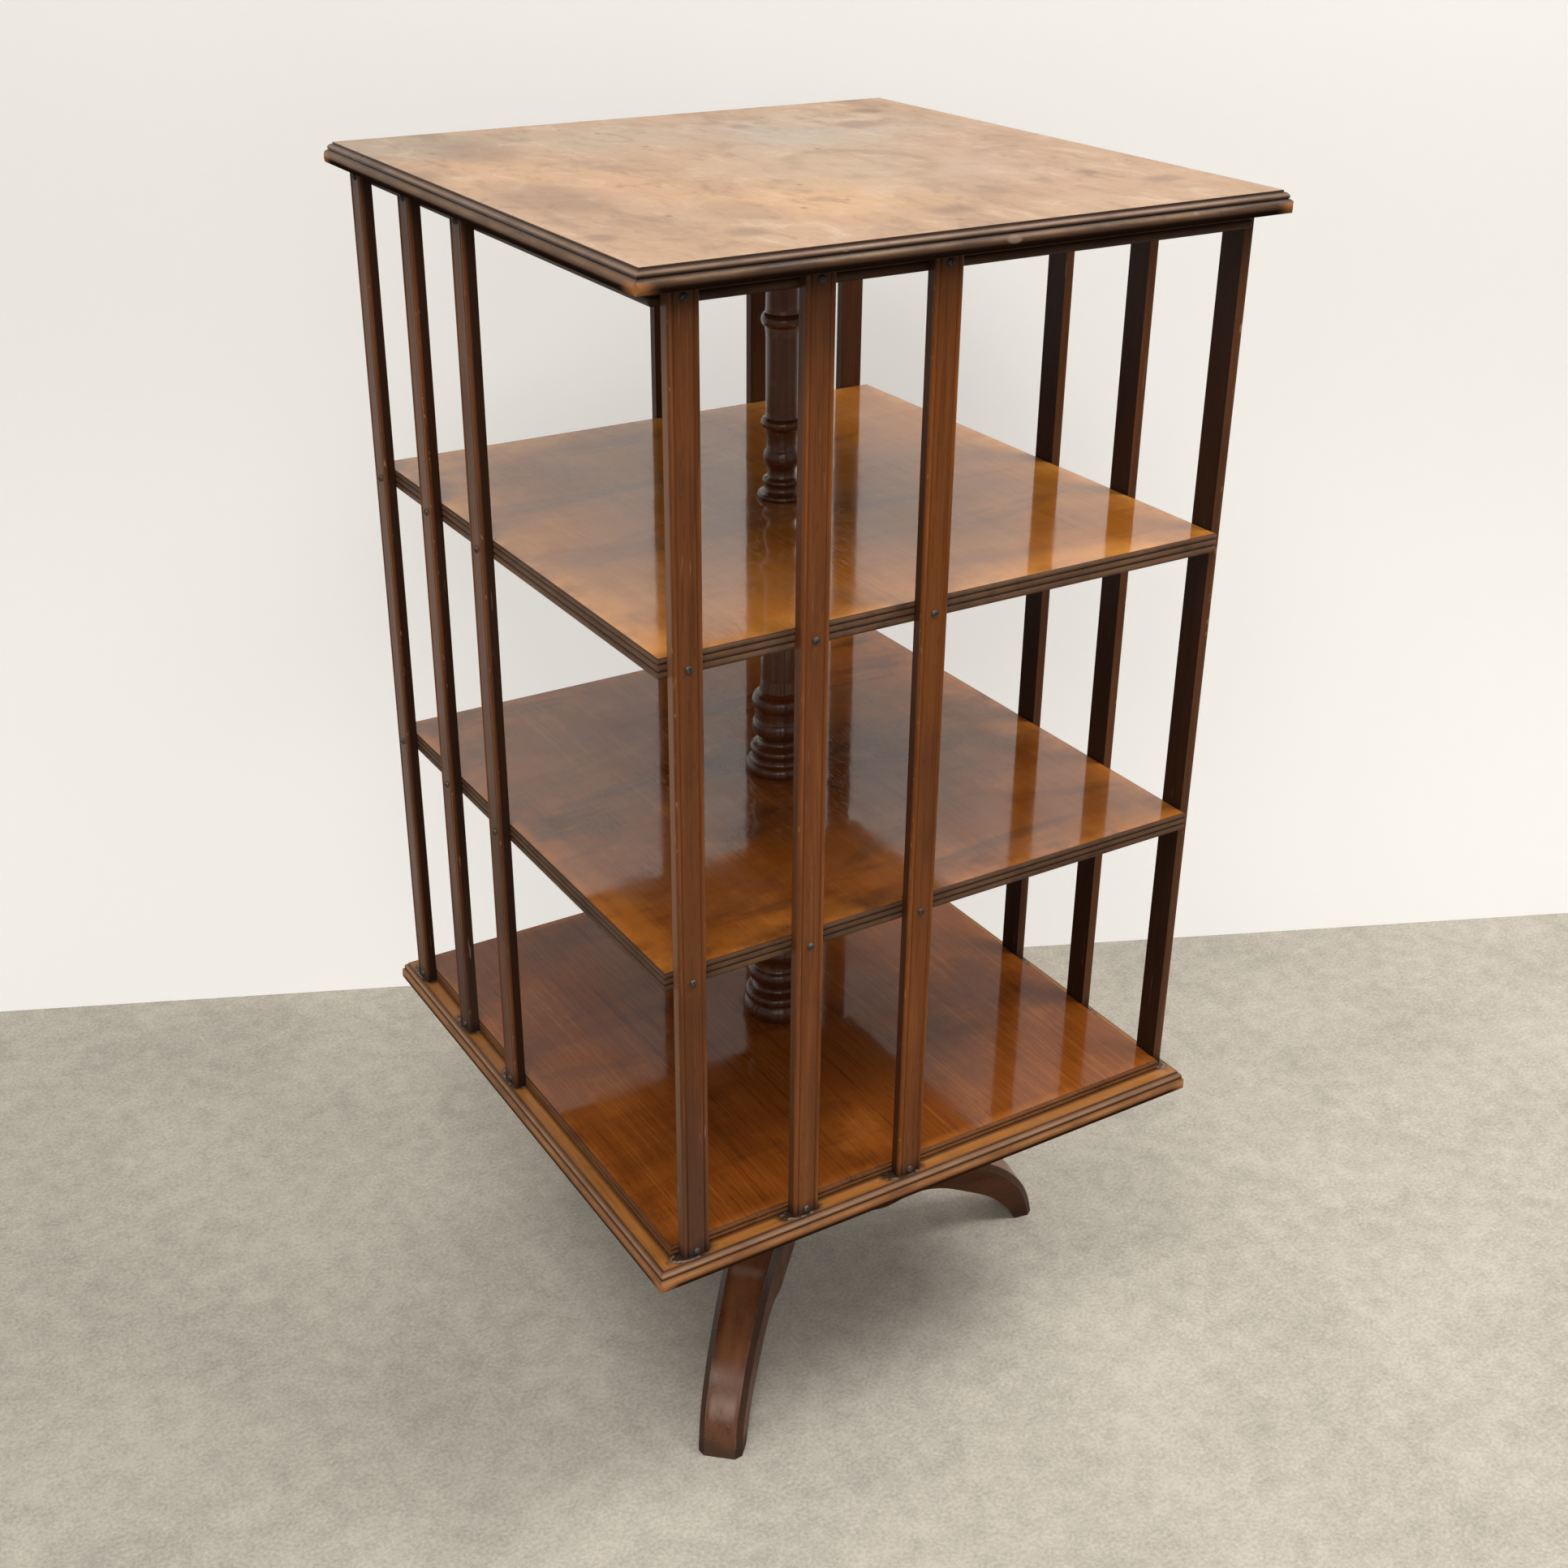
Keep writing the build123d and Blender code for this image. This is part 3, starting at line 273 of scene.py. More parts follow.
    # moulded edge
    e = g.mx(g.ab(g.x), g.ab(g.y))
    rim = g.step(e, 0.2473, 0.2479)
    edge, wear, low = moulding(g, (0.982, 0.9912, 0.9919, 0.9956), (0.052, 0.026, 0.016), (0.098, 0.051, 0.030),
                          (0.150, 0.082, 0.048), (0.200, 0.112, 0.052), (0.290, 0.190, 0.135), (5.1, 2.2, 0.7), 0.55)
    # chips in the front edge
    for cx, cz, w in ((0.0145, 0.9880, 0.0075), (-0.1100, 0.9935, 0.0030), (0.1650, 0.9895, 0.0035)):
        chip = g.mul(g.mul(g.step(g.add(g.dist(cx, cz, w, 0.45 * w, g.x, g.z), g.mul(g.sub(wear, 0.5), 0.8)), 1.0, 0.5), g.step(g.y, -0.249, -0.251)), 0.75)
        edge = g.mix(chip, edge, (0.200, 0.135, 0.095))
    col = g.mix(rim, col, edge)
    # bare worn wood at the corners' rounded member
    corner = g.step(g.add(g.mn(g.ab(g.x), g.ab(g.y)), g.mul(g.sub(wear, 0.5), 0.02)), 0.236, 0.252)
    col = g.mix(g.mul(g.mul(corner, g.step(g.z, 0.9905, 0.9885)), 0.75), col, (0.34, 0.14, 0.05))
    under = g.step(g.z, 0.98215, 0.98205)
    col = g.mix(under, col, (0.065, 0.029, 0.016))
    rough = g.add(g.step(n, 0.3, 0.75, 0.34, 0.50), g.add(g.mul(g.sub(n2, 0.5), 0.20), g.mul(g.sub(n3, 0.5), 0.14)))
    rough = g.add(rough, g.mul(rim, -0.08))
    fine = g.noise(g.map(stretched("y", 900, 60), off), 1.0, 2.0, 0.6)
    bump = g.add(g.mul(fine, 0.35), g.add(g.mul(pores, -0.35), g.mul(n4, 0.25)))
    return g.surface(col, rough, bump, 0.00010, spec=g.add(0.34, g.mul(rim, g.add(-0.22, g.mul(low, -0.12)))))


def board_material(name, z_bot, z_top, heights, off, stops, curl, spec=0.5, front=0.0, deep=(0.042, 0.014, 0.006), bloom=0.0, half=0.235,
                   lines=0.28, bands=0.0, reeds=((0.036, 0.017, 0.010), (0.074, 0.036, 0.020), (0.118, 0.060, 0.032), (0.170, 0.096, 0.054))):
    """Polished shelf with reeded edges: fine grain, cloudy figure and wavy dark bands across it."""
    g = Graph(name)
    col, pores, t = grain(g, "y", off, stops, 0.30, 0.30, lines, curl)
    blot = g.noise(g.map((6, 6, 6), off), 1.0, 5.0, 0.62)
    col = g.mix(g.step(blot, 0.52, 0.72, 0.0, 0.6), col, deep)
    col = g.mix(g.step(blot, 0.44, 0.28, 0.0, 0.45), col, tuple(1.15 * c for c in stops[-1][1]))
    wave = g.noise(g.map((3.2, 15, 3.2), (off[2], off[0], off[1])), 1.0, 4.0, 0.6, 0.7)
    col = g.mix(g.mul(g.step(wave, 0.50, 0.66), 0.3 + bands), col, tuple(1.3 * c for c in deep))
    col = g.mix(g.mul(g.step(wave, 0.42, 0.28), 0.6 * bands), col, tuple(1.1 * c for c in stops[-1][1]))
    col = g.mix(g.mul(pores, 0.40), col, deep)
    if bloom:
        haze = g.noise(g.map((9, 7, 7), (off[1], off[0], off[2])), 1.0, 5.0, 0.6)
        col = g.mix(g.step(haze, 0.35, 0.66, 0.0, bloom), col, (0.300, 0.165, 0.092))
    e = g.mx(g.ab(g.x), g.ab(g.y))
    # painted light: a paler band along the edges of the shelf, where light reaches in under the board above, patchy
    # with wear; and a rubbed arris
    wear = g.noise(g.map((13, 13, 40), (off[1], off[2], off[0])), 1.0, 5.0, 0.66)
    if front:
        edge_light_and_wear = g.mul(g.step(g.add(e, g.mul(g.sub(blot, 0.5), 0.12)), half - 0.045, half - 0.006), g.mul(g.step(wear, 0.34, 0.62), front))
        col = g.mix(edge_light_and_wear, col, (1.25 * stops[-1][1][0], 1.30 * stops[-1][1][1], 1.35 * stops[-1][1][2]))
    lip = g.mul(g.step(e, half - 0.012, half - 0.002), g.step(wear, 0.40, 0.68, 0.0, 0.6))
    col = g.mix(lip, col, tuple(min(1.0, 1.3 * c) for c in stops[-1][1]))
    rim = g.step(e, half - 0.0022, half - 0.0014)
    span = z_top - z_bot
    marks, zc = [(0.0, 0.0)], 0.0
    for h in heights:
        marks += [((zc + h / 2) / span, 1.0), ((zc + h) / span, 0.0)]
        zc += h
    crest = g.ramp(g.lin(g.z, z_bot, z_top), marks, "LINEAR")
    reed = g.ramp(g.add(t, g.mul(g.sub(wear, 0.5), 0.6)), [(0.15, reeds[0]), (0.55, reeds[1]), (0.9, reeds[2])])
    # painted highlight along the reeds' crests, patchy with wear, and painted shade in the valleys between them
    reed = g.mix(g.mul(crest, g.step(wear, 0.36, 0.68, 0.05, 0.55)), reed, reeds[3])
    reed = g.mix(g.step(crest, 0.30, 0.0, 0.0, 0.5), reed, (0.012, 0.007, 0.005))
    col = g.mix(rim, col, reed)
    under = g.step(g.z, z_bot + 0.0004, z_bot + 0.0002)
    col = g.mix(g.mul(under, 0.6), col, deep)
    smear = g.noise(g.map((17, 9, 10), off), 1.0, 5.0, 0.65)
    rough = g.add(g.step(smear, 0.35, 0.75, 0.05, 0.12), g.mul(rim, 0.34))
    ripple = g.noise(g.map((22, 16, 16), off), 1.0, 2.0, 0.5)
    bump = g.add(g.mul(ripple, 1.0), g.mul(pores, -0.05))
    sheen = g.step(smear, 0.36, 0.70, 1.12 * spec, 0.80 * spec)
    sheen = g.add(sheen, g.mul(rim, g.sub(0.08, sheen)))
    # the underside was never polished
    rough = g.add(rough, g.mul(under, 0.45))
    sheen = g.add(sheen, g.mul(under, g.sub(0.12, sheen)))
    return g.surface(col, rough, bump, 0.00016, spec=sheen)


def base_material():
    """Moulded base board: bright rubbed margin, brown moulding, grime round the slats' feet."""
    g = Graph("base_wood")
    off = (1.7, 0.25, 0.6)
    e = g.mx(g.ab(g.x), g.ab(g.y))
    facing_y = g.m("GREATER_THAN", g.ab(g.y), g.ab(g.x))
    u = g.add(g.y, g.mul(facing_y, g.sub(g.x, g.y)))                    # along the edge
    col, pores, t = grain(g, "x", off, [(0.12, (0.165, 0.056, 0.012)), (0.5, (0.345, 0.132, 0.030)),
                                        (0.88, (0.510, 0.228, 0.066))], 0.5, 0.7, 0.4, vec=g.vec(u, e, g.z))
    edge, wear, low = moulding(g, (0.255, 0.2645, 0.2652, 0.2691), (0.118, 0.050, 0.021), (0.196, 0.083, 0.033),
                          (0.275, 0.121, 0.047), (0.375, 0.167, 0.060), (0.340, 0.205, 0.125), (3.2, 1.9, 0.4))
    col = g.mix(g.mul(pores, 0.4), col, (0.10, 0.035, 0.010))
    col = g.mix(g.step(wear, 0.52, 0.74, 0.0, 0.5), col, (0.20, 0.095, 0.035))
    # darker close beside and under the shelf's edge, and the line before the moulding
    col = g.mix(g.step(e, 0.2385, 0.2355, 0.0, 0.75), col, (0.055, 0.024, 0.012))
    col = g.mix(g.mul(g.step(e, 0.2450, 0.2460), 0.6), col, (0.10, 0.045, 0.02))
    rim = g.step(e, 0.2461, 0.2467)
    col = g.mix(rim, col, edge)
    corner = g.step(g.add(g.mn(g.ab(g.x), g.ab(g.y)), g.mul(g.sub(wear, 0.5), 0.02)), 0.236, 0.250)
    col = g.mix(g.mul(g.mul(corner, g.step(g.z, 0.2635, 0.2605)), 0.8), col, (0.40, 0.17, 0.065))
    # grime round each slat's foot, dusty in the corners
    dirt = None
    for s in (-0.217, -0.122, -0.027):
        s -= 0.0035
        for fx, fy in ((s, -0.2395), (0.2395, s), (-s, 0.2395), (-0.2395, -s)):
            sx, sy = (0.0200, 0.0085) if abs(fy) > 0.2394 and abs(fy) < 0.2396 else (0.0085, 0.0200)
            d = g.dist(fx, fy, sx, sy)
            dirt = d if dirt is None else g.mn(dirt, d)
    dn = g.noise(g.map((160, 160, 160), (0.2, 0.6, 0.9)), 1.0, 3.0, 0.6)
    dirt = g.add(dirt, g.mul(g.sub(dn, 0.5), 0.7))
    flat = g.inv(rim)
    col = g.mix(g.mul(g.step(dirt, 1.15, 0.72, 0.0, 0.92), g.inv(g.mul(rim, 0.6))), col, (0.030, 0.019, 0.013))
    dust = g.mul(g.mul(g.near(dirt, 0.80, 0.14), flat), g.step(dn, 0.45, 0.62))
    col = g.mix(g.mul(dust, 0.55), col, (0.32, 0.30, 0.27))
    under = g.step(g.z, 0.25515, 0.25505)
    col = g.mix(under, col, (0.085, 0.036, 0.017))
    rough = g.add(g.step(wear, 0.35, 0.7, 0.26, 0.42), g.mul(rim, 0.04))
    fine = g.noise(g.map(stretched("y", 900, 60), off), 1.0, 2.0, 0.6)
    return g.surface(col, rough, g.add(g.mul(fine, 0.3), g.mul(pores, -0.3)), 0.00012, spec=g.add(0.30, g.mul(rim, g.add(-0.16, g.mul(low, -0.14)))))


def slat_material(name, turn, s, seed, warm, dark_foot, side_shading, inner_shading):
    """Reeded slat: flat between two beads. turn is its face, s its place along it."""
    g = Graph(name)
    a = radians(turn)
    across = g.sub(g.add(g.mul(g.x, cos(a)), g.mul(g.y, sin(a))), s)      # from its centre line
    outw = g.sub(g.mul(g.x, sin(a)), g.mul(g.y, cos(a)))                  # outwards
    off = (0.37 * seed, 0.71 * seed + 0.2, 0.53 * seed + 0.4)
    md = (0.108 + 0.055 * warm, 0.040 + 0.010 * warm, 0.0170 - 0.005 * warm)
    lo = tuple(0.45 * c for c in md)
    hi = (1.50 * md[0], 1.55 * md[1], 1.60 * md[2])
    col, pores, t = grain(g, "z", off, [(0.12, lo), (0.5, md), (0.9, hi)], 0.45, 0.55, 0.5)
    wear = g.noise(g.map((70, 70, 7), off), 1.0, 5.0, 0.68)
    blot = g.noise(g.map((14, 14, 5), off), 1.0, 3.0, 0.6)
    col = g.mix(g.step(blot, 0.50, 0.74, 0.0, 0.55), col, (0.046, 0.018, 0.010))
    col = g.mix(g.mul(pores, 0.35), col, (0.028, 0.012, 0.007))
    aa = g.ab(across)
    face = g.step(outw, 0.2415, 0.2421)
    # painted light in the quirks, lightened to cancel the shade in them, and a painted highlight along the beads'
    # crests, patchy with wear
    quirk = g.mul(g.mul(g.near(aa, 0.00705, 0.0011), face), 0.65)
    col = g.mix(quirk, col, tuple(1.7 * c for c in hi))
    bead = g.mul(g.near(aa, 0.0092, 0.0016), face)
    col = g.mix(g.mul(bead, g.step(wear, 0.40, 0.66, 0.05, 0.55)), col, (1.5 * hi[0], 1.4 * hi[1], 1.2 * hi[2]))
    # nicks along the arrises
    nick = g.noise(g.map((240, 240, 90), (off[2], off[0], off[1])), 1.0, 2.0, 0.55)
    arris = g.mul(g.step(aa, 0.0088, 0.0106), g.step(outw, 0.2395, 0.2415))
    col = g.mix(g.mul(g.step(nick, 0.66, 0.72), g.mul(arris, 0.7)), col, (0.34, 0.17, 0.085))
    # painted shade on the flanks and on the inward face; where the amount is negative, painted light on the flanks
    flank = g.mul(g.step(aa, 0.0103, 0.0106), g.step(outw, 0.2422, 0.2408))
    col = g.mix(g.mul(flank, abs(side_shading)), col, (0.016, 0.008, 0.005) if side_shading > 0 else (0.240, 0.118, 0.060))
    col = g.mix(g.mul(g.step(outw, 0.2353, 0.2351), inner_shading), col, (0.016, 0.008, 0.005))
    # pale scratches and specks
    sc = g.noise(g.map((900, 900, 26), (off[1], off[2], off[0])), 1.0, 1.0, 0.4)
    col = g.mix(g.mul(g.step(sc, 0.77, 0.80), 0.45), col, (0.30, 0.21, 0.16))
    if dark_foot:
        foot = g.step(g.add(g.z, g.mul(g.sub(blot, 0.5), 0.16)), 0.46, 0.32)
        col = g.mix(g.mul(foot, 0.55), col, (0.068, 0.036, 0.026))
        tall = g.noise(g.map((420, 420, 34), (off[2], off[1], off[0])), 1.0, 1.0, 0.4)
        col = g.mix(g.mul(g.mul(g.step(tall, 0.73, 0.77), foot), 0.55), col, (0.34, 0.27, 0.22))
    # grime where it meets the board below
    seat = g.step(g.add(g.z, g.mul(g.sub(wear, 0.5), 0.012)), 0.2865, 0.2715)
    col = g.mix(g.mul(seat, 0.75), col, (0.020, 0.013, 0.010))
    # painted shadow of the top's overhang: darker towards the top
    col = g.mix(g.step(g.add(g.z, g.mul(g.sub(blot, 0.5), 0.10)), 0.880, 0.975, 0.0, 0.50), col, (0.030, 0.013, 0.007))
    # painted shade at its upper end, under the top
    cap_shade = g.step(g.add(g.z, g.mul(g.sub(wear, 0.5), 0.012)), 0.966, 0.981)
    col = g.mix(g.mul(cap_shade, 0.6), col, (0.022, 0.011, 0.007))
    rough = g.add(g.step(blot, 0.3, 0.75, 0.28, 0.42), g.mul(g.sub(wear, 0.5), 0.10))
    fine = g.noise(g.map(stretched("z", 1100, 70), off), 1.0, 2.0, 0.6)
    bump = g.add(g.mul(fine, 0.35), g.add(g.mul(pores, -0.3), g.mul(g.step(nick, 0.66, 0.72), g.mul(arris, -1.2))))
    return g.surface(col, rough, bump, 0.00014, spec=0.10)


def turned_material(name, seed, stops, rough_lo=0.16, rough_hi=0.28):
    g = Graph(name)
    off = (0.9 * seed, 0.4 + 0.3 * seed, 0.2 * seed)
    col, pores, t = grain(g, "z", off, stops, 0.5, 0.45, 0.4)
    wear = g.noise(g.map((40, 40, 60), off), 1.0, 4.0, 0.65)
    col = g.mix(g.mul(pores, 0.3), col, (0.020, 0.008, 0.005))
    col = g.mix(g.step(wear, 0.55, 0.75, 0.0, 0.5), col, tuple(1.2 * c for c in stops[-1][1]))
    rough = g.step(wear, 0.35, 0.75, rough_lo, rough_hi)
    fine = g.noise(g.map((300, 300, 300), off), 1.0, 2.0, 0.6)
    return g.surface(col, rough, g.mul(fine, 0.4), 0.00008, spec=0.5), g


def leg_material(name, angle, seed):
    """Arched leg, grain along it; rubbed along the middle, dark on its chamfers."""
    g = Graph(name)
    a = radians(angle)
    along = g.add(g.mul(g.x, cos(a)), g.mul(g.y, sin(a)))
    across = g.sub(g.mul(g.y, cos(a)), g.mul(g.x, sin(a)))
    v = g.vec(along, across, g.z)
    off = (0.6 * seed, 0.2 + 0.45 * seed, 0.3 * seed)
    col, pores, t = grain(g, "x", off, [(0.12, (0.072, 0.024, 0.010)), (0.5, (0.148, 0.053, 0.022)),
                                        (0.9, (0.226, 0.092, 0.040))], 0.5, 0.5, 0.4, vec=v)
    wear = g.noise(g.map((26, 60, 26), off, v), 1.0, 4.0, 0.65)
    aa = g.ab(across)
    inset = g.sub(g.sub(0.025 + 0.0304 * 0.042, g.mul(along, 0.0304)), aa)     # from the leg's side
    mid = g.mul(g.step(inset, 0.0060, 0.0135), g.mul(g.step(along, 0.09, 0.15), g.step(along, 0.245, 0.20)))
    col = g.mix(g.mul(mid, g.step(wear, 0.30, 0.60, 0.25, 0.8)), col, (0.29, 0.112, 0.042))
    cham = g.mul(g.step(inset, 0.0002, 0.0006), g.step(inset, 0.0056, 0.0048))
    col = g.mix(g.mul(cham, 0.8), col, (0.032, 0.019, 0.012))
    side = g.step(inset, 0.0006, 0.0002)
    col = g.mix(g.mul(side, 0.45), col, (0.032, 0.015, 0.009))
    rub = g.mul(g.near(inset, 0.0053, 0.0009), g.step(wear, 0.42, 0.62, 0.0, 0.55))
    col = g.mix(rub, col, (0.27, 0.14, 0.075))
    # painted highlights: pale patches near the toe and at the crown, patchy with wear
    pale = g.mx(g.near(along, 0.2425, 0.011), g.near(along, 0.1365, 0.009))
    pale = g.mul(g.mul(pale, g.step(inset, 0.0060, 0.0100)), g.mul(g.step(g.z, 0.026, 0.034), g.step(wear, 0.25, 0.6, 0.35, 0.65)))
    col = g.mix(pale, col, (0.36, 0.235, 0.175))
    toe = g.step(g.add(g.z, g.mul(g.sub(wear, 0.5), 0.02)), 0.020, 0.004)
    col = g.mix(g.mul(toe, 0.7), col, (0.030, 0.017, 0.012))
    col = g.mix(g.mul(pores, 0.3), col, (0.022, 0.009, 0.006))
    scuff = g.noise(g.map((300, 300, 300), off), 1.0, 3.0, 0.6)
    col = g.mix(g.mul(g.step(scuff, 0.68, 0.74), 0.35), col, (0.28, 0.18, 0.13))
    rough = g.add(g.step(wear, 0.35, 0.7, 0.27, 0.40), g.mul(toe, 0.25))
    fine = g.noise(g.map((70, 900, 900), off, v), 1.0, 2.0, 0.6)
    return g.surface(col, rough, g.add(g.mul(fine, 0.35), g.mul(pores, -0.3)), 0.00012, spec=g.add(0.40, g.add(g.mul(side, -0.30), g.mul(cham, -0.22))))


def metal_material(name, base, rust, rough_lo, rough_hi, metal=1.0):
    g = Graph(name)
    n = g.noise(g.map((260, 260, 260)), 1.0, 4.0, 0.6)
    big = g.noise(g.map((45, 45, 45)), 1.0, 3.0, 0.6)
    col = g.mix(g.step(n, 0.45, 0.70, 0.0, 0.7), base, rust)
    col = g.mix(g.step(big, 0.50, 0.75, 0.0, 0.5), col, tuple(0.5 * c for c in base))
    rough = g.step(n, 0.3, 0.75, rough_lo, rough_hi)
    return g.surface(col, rough, n, 0.00008, metal=metal)


def apply(node, mat):
    o = nodes[node]
    o.data.materials.clear()
    o.data.materials.append(mat)


MAHOGANY = [(0.10, (0.085, 0.019, 0.003)), (0.5, (0.215, 0.057, 0.008)), (0.9, (0.365, 0.113, 0.019))]
RUSSET = [(0.10, (0.075, 0.018, 0.002)), (0.5, (0.195, 0.053, 0.006)), (0.9, (0.365, 0.120, 0.018))]
TAWNY = [(0.10, (0.185, 0.048, 0.004)), (0.5, (0.372, 0.119, 0.012)), (0.9, (0.530, 0.212, 0.038))]
apply("top_board", top_material())
apply("base_board", base_material())
apply("bottom_shelf", board_material("bottom_wood", 0.2705, 0.279, (0.00425, 0.00425), (0.1, 0.5, 0.9), MAHOGANY,
                                     curl=0.12, spec=0.42, deep=(0.045, 0.012, 0.004), lines=0.55,
                                     reeds=((0.060, 0.022, 0.009), (0.135, 0.052, 0.018), (0.220, 0.092, 0.032), (0.270, 0.118, 0.044))))
apply("shelf_lower", board_material("lower_wood", 0.5005, 0.515, (0.0053, 0.0053, 0.0039), (1.1, 2.5, 0.3), RUSSET,
                                    curl=0.45, spec=0.93, front=0.45, deep=(0.046, 0.014, 0.004), bloom=0.15, bands=0.45))
apply("shelf_upper", board_material("upper_wood", 0.734, 0.7485, (0.0053, 0.0053, 0.0039), (3.1, 0.7, 1.9), TAWNY,
                                    curl=0.30, spec=1.00, front=0.60, deep=(0.150, 0.048, 0.009), bloom=0.20, bands=0.40,
                                    reeds=((0.045, 0.022, 0.013), (0.092, 0.046, 0.026), (0.145, 0.076, 0.041), (0.210, 0.120, 0.068))))
apply("under_top", board_material("under_wood", 0.970, 0.982, (0.006, 0.006), (2.2, 4.5, 0.2),
                                  [(0.1, (0.03, 0.011, 0.005)), (0.5, (0.06, 0.024, 0.010)), (0.9, (0.10, 0.042, 0.018))], 0.1, 0.2,
                                  deep=(0.020, 0.008, 0.004),
                                  reeds=((0.020, 0.010, 0.006), (0.036, 0.018, 0.010), (0.058, 0.030, 0.016), (0.080, 0.042, 0.022))))
TURNS = {"front": 0.0, "right": 90.0, "back": 180.0, "left": 270.0}
WARM = {"front_1": 0.50, "front_2": 0.65, "front_3": 0.95, "right_1": 0.2, "right_2": 0.4, "right_3": 0.3,
        "back_1": 0.3, "back_2": 0.5, "back_3": 0.2, "left_1": 0.1, "left_2": 0.45, "left_3": 0.2}
k = 0
for face, turn in TURNS.items():
    for i, s in enumerate((-0.217, -0.122, -0.027)):
        k += 1
        tag = f"{face}_{i + 1}"
        # painted shade on each slat's flanks and inward face, set by the face of the case it stands on; a negative
        # amount paints light on the flanks instead
        apply(f"slat_{tag}", slat_material(f"slat_wood_{tag}", turn, s, k * 1.37, WARM[tag],
                                              tag in ("front_1", "left_2", "back_3"),
                                              {"front": (-0.65, 0.40, 0.75)[i], "right": 0.25, "back": 0.6, "left": 0.85}[face],
                                              {"front": 0.7, "right": 0.85, "back": 0.45, "left": 0.7}[face]))
TURNED = [(0.1, (0.035, 0.010, 0.004)), (0.5, (0.088, 0.026, 0.008)), (0.9, (0.158, 0.052, 0.016))]
for i, n in enumerate(("column_lower", "column_middle", "column_upper", "hub_pillar")):
    apply(n, turned_material(f"turned_wood_{i + 1}", 1.3 + i, TURNED)[0])
for i, (n, a) in enumerate((("leg_front", -131.6), ("leg_right", -13.0), ("leg_back", 107.0))):
    apply(n, leg_material(f"leg_wood_{i + 1}", a, 1.1 + i))
screw_iron = metal_material("screw_iron", (0.095, 0.084, 0.072), (0.035, 0.027, 0.021), 0.38, 0.60, 0.8)
plate_iron = metal_material("plate_iron", (0.10, 0.093, 0.088), (0.075, 0.045, 0.030), 0.40, 0.70, 0.8)
bright_iron = metal_material("bright_iron", (0.34, 0.33, 0.31), (0.14, 0.11, 0.085), 0.22, 0.45, 1.0)
old_brass = metal_material("old_brass", (0.52, 0.36, 0.13), (0.23, 0.15, 0.06), 0.25, 0.48, 1.0)
for n in nodes:
    if n.endswith("screws") or n.startswith("slat_screws"):
        apply(n, screw_iron)
black_iron = metal_material("black_iron", (0.040, 0.032, 0.026), (0.020, 0.014, 0.010), 0.45, 0.65, 0.6)
apply("slat_screws_top", black_iron)
for n in ("base_plate", "hub_plate", "leg_plate"):
    apply(n, plate_iron)
for n in ("spindle", "spindle_foot_washer", "spindle_foot_nut", "spindle_top_washer", "spindle_top_nut"):
    apply(n, bright_iron)
for n in ("lower_bush", "upper_bush", "thrust_ring"):
    apply(n, old_brass)


# ---------------------------------------------------------------- stage
def stage_material(name, base, amounts, scales, rough, glow=0.0):
    """Plain paper or carpet, seen from its front only, so that it never hides the object from behind."""
    g = Graph(name)
    f = 0.5
    for i, (amount, scale) in enumerate(zip(amounts, scales)):
        n = g.noise(g.map((scale, scale, scale), (0.3 * i, 0.7 * i, 0.1)), 1.0, 4.0, 0.6)
        f = g.add(f, g.mul(g.sub(n, 0.5), amount))
    col = g.mix(f, tuple(0.80 * c for c in base), tuple(min(1.0, 1.20 * c) for c in base))
    g.surface(col, rough, None, spec=0.1)
    if glow:
        g.bsdf.inputs["Emission Color"].default_value = (1.0, 0.985, 0.95, 1.0)
        g.put(g.bsdf.inputs["Emission Strength"], g.step(g.z, 1.0, 0.05, glow, glow + 0.22))
    geo = g.node("ShaderNodeNewGeometry")
    clear = g.node("ShaderNodeBsdfTransparent")
    mixer = g.node("ShaderNodeMixShader", {0: geo.outputs["Backfacing"]})
    g.t.links.new(g.bsdf.outputs[0], mixer.inputs[1])
    g.t.links.new(clear.outputs[0], mixer.inputs[2])
    g.t.links.new(mixer.outputs[0], g.out.inputs[0])
    return g.mat


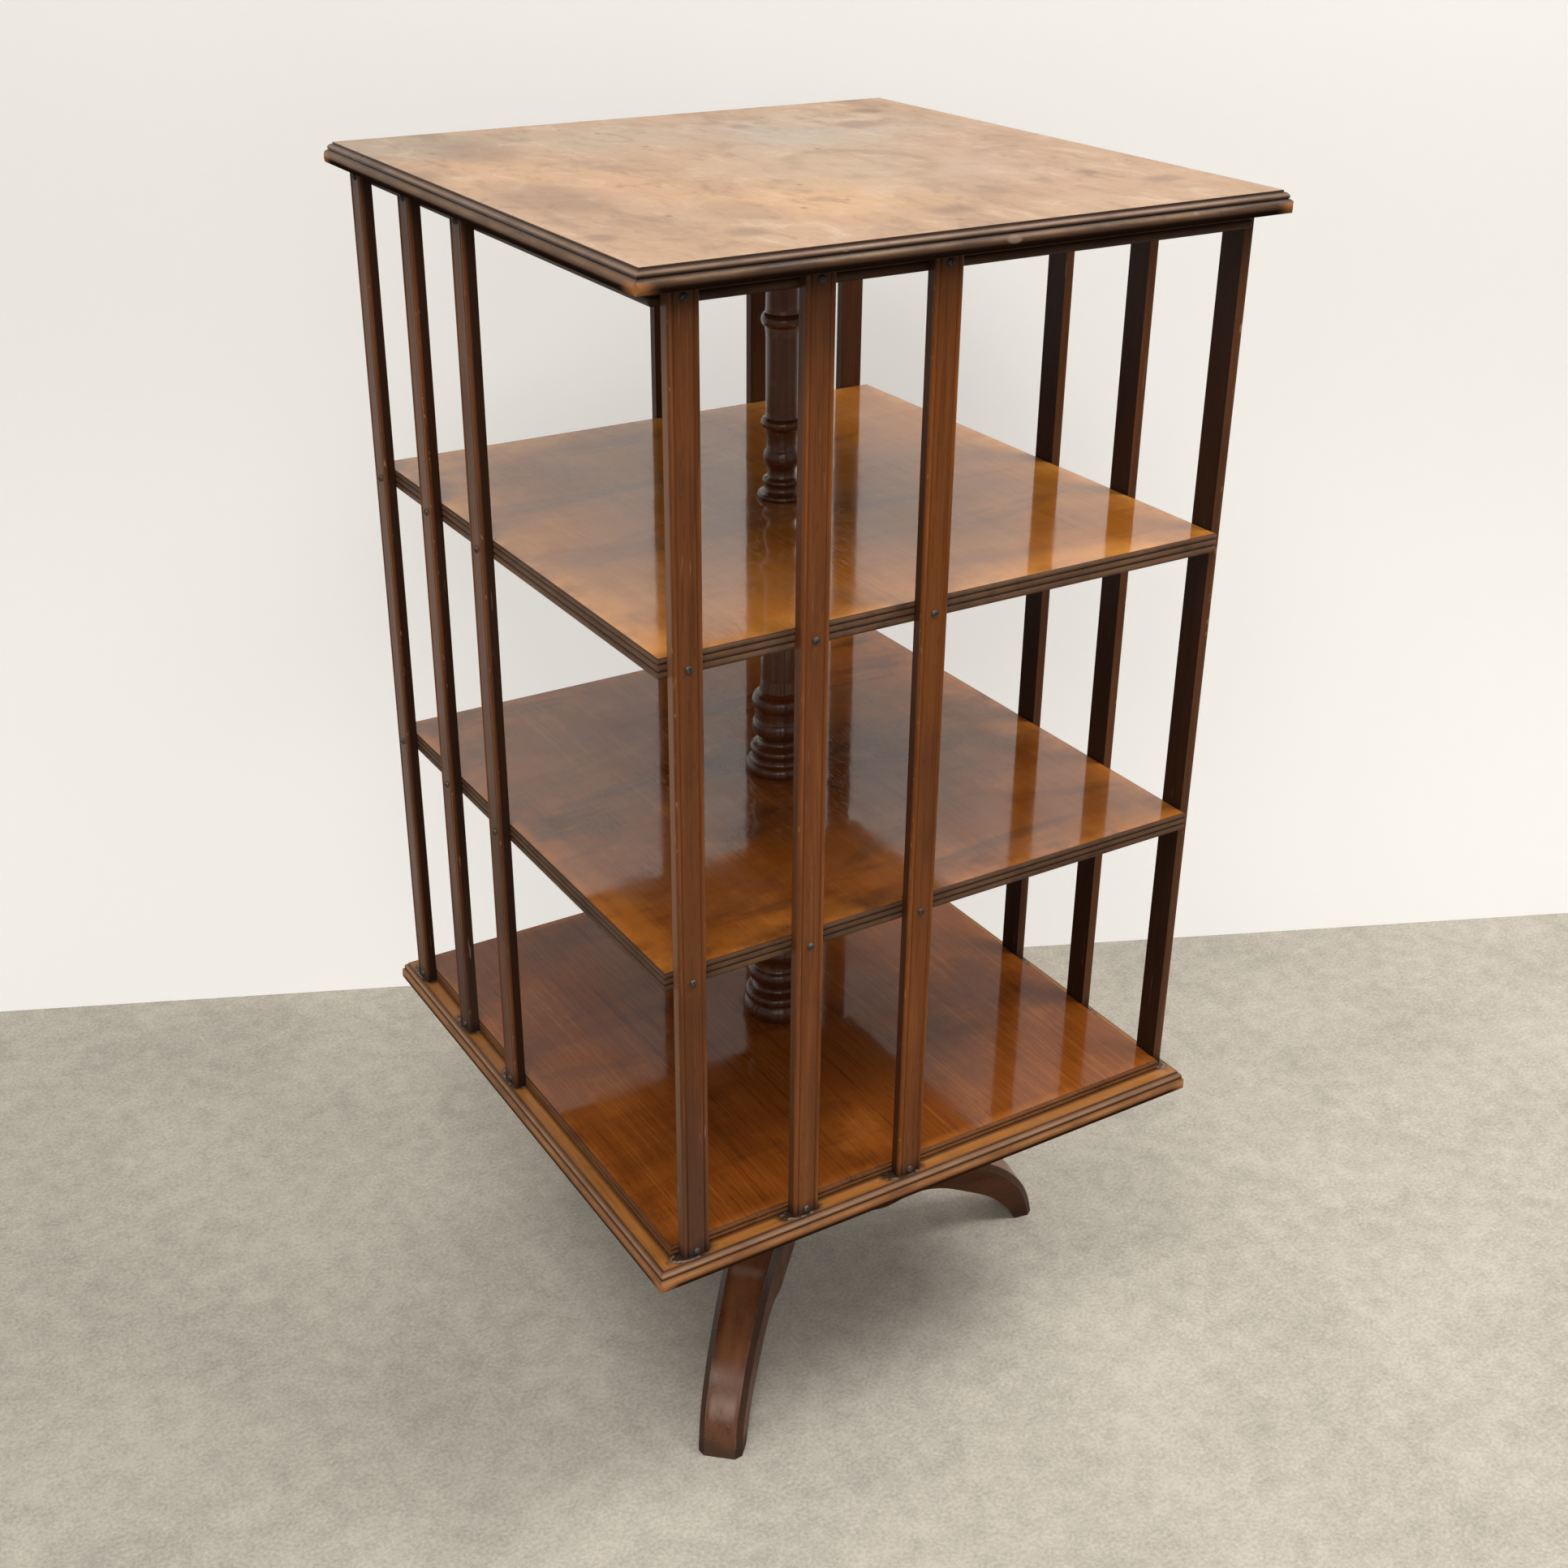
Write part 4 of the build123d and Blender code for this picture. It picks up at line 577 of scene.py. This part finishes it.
def sheet(name, corners, mat):
    me = bpy.data.meshes.new(name)
    me.from_pydata(corners, [], [tuple(range(len(corners)))])
    o = bpy.data.objects.new(name, me)
    scene.collection.objects.link(o)
    me.materials.append(mat)
    return o


# the wall stands a little behind the case, square to neither of its faces
WALL_N = Vector((0.405, 0.914, 0.0)).normalized()
WALL_T = Vector((WALL_N.y, -WALL_N.x, 0.0))
foot = WALL_N * 0.516
a, b = foot - WALL_T * 5.0, foot + WALL_T * 5.0
sheet("wall", [tuple(a), tuple(b), (b.x, b.y, 3.2), (a.x, a.y, 3.2)],
      stage_material("wall_paper", (0.62, 0.61, 0.59), (0.03, 0.05), (60, 2), 0.9, 0.255))
c, d = a - WALL_N * 7.0, b - WALL_N * 7.0
sheet("floor", [(c.x, c.y, 0), (d.x, d.y, 0), (b.x, b.y, 0), (a.x, a.y, 0)],
      stage_material("floor_carpet", (0.500, 0.462, 0.398), (2.2, 1.3, 1.3), (300, 45, 5), 0.95))

# ---------------------------------------------------------------- light
world = bpy.data.worlds.new("world")
scene.world = world
world.use_nodes = True
bg = world.node_tree.nodes["Background"]
bg.inputs[0].default_value = (1.0, 0.985, 0.96, 1.0)
bg.inputs[1].default_value = 0.36


def lamp(name, at, to, size, power, color=(1, 1, 1)):
    l = bpy.data.lights.new(name, "AREA")
    l.shape = "RECTANGLE"
    l.size, l.size_y = size
    l.energy = power
    l.color = color
    o = bpy.data.objects.new(name, l)
    scene.collection.objects.link(o)
    o.location = at
    o.rotation_mode = "QUATERNION"
    o.rotation_quaternion = (Vector(to) - Vector(at)).to_track_quat("-Z", "Y")
    return o


# two lights overhead, one each side and a little to the front, and a weak one from the front left
lamp("ceiling_right", (1.25, -0.95, 2.7), (0.0, -0.2, 0.4), (1.0, 0.7), 40, (1.0, 0.985, 0.955))
lamp("ceiling_left", (-1.20, -1.15, 2.8), (0.0, -0.2, 0.4), (1.6, 0.8), 38, (1.0, 0.985, 0.955))
lamp("front", (-1.6, -2.7, 2.0), (0.0, 0.0, 0.5), (2.0, 2.0), 17, (1.0, 0.985, 0.96))
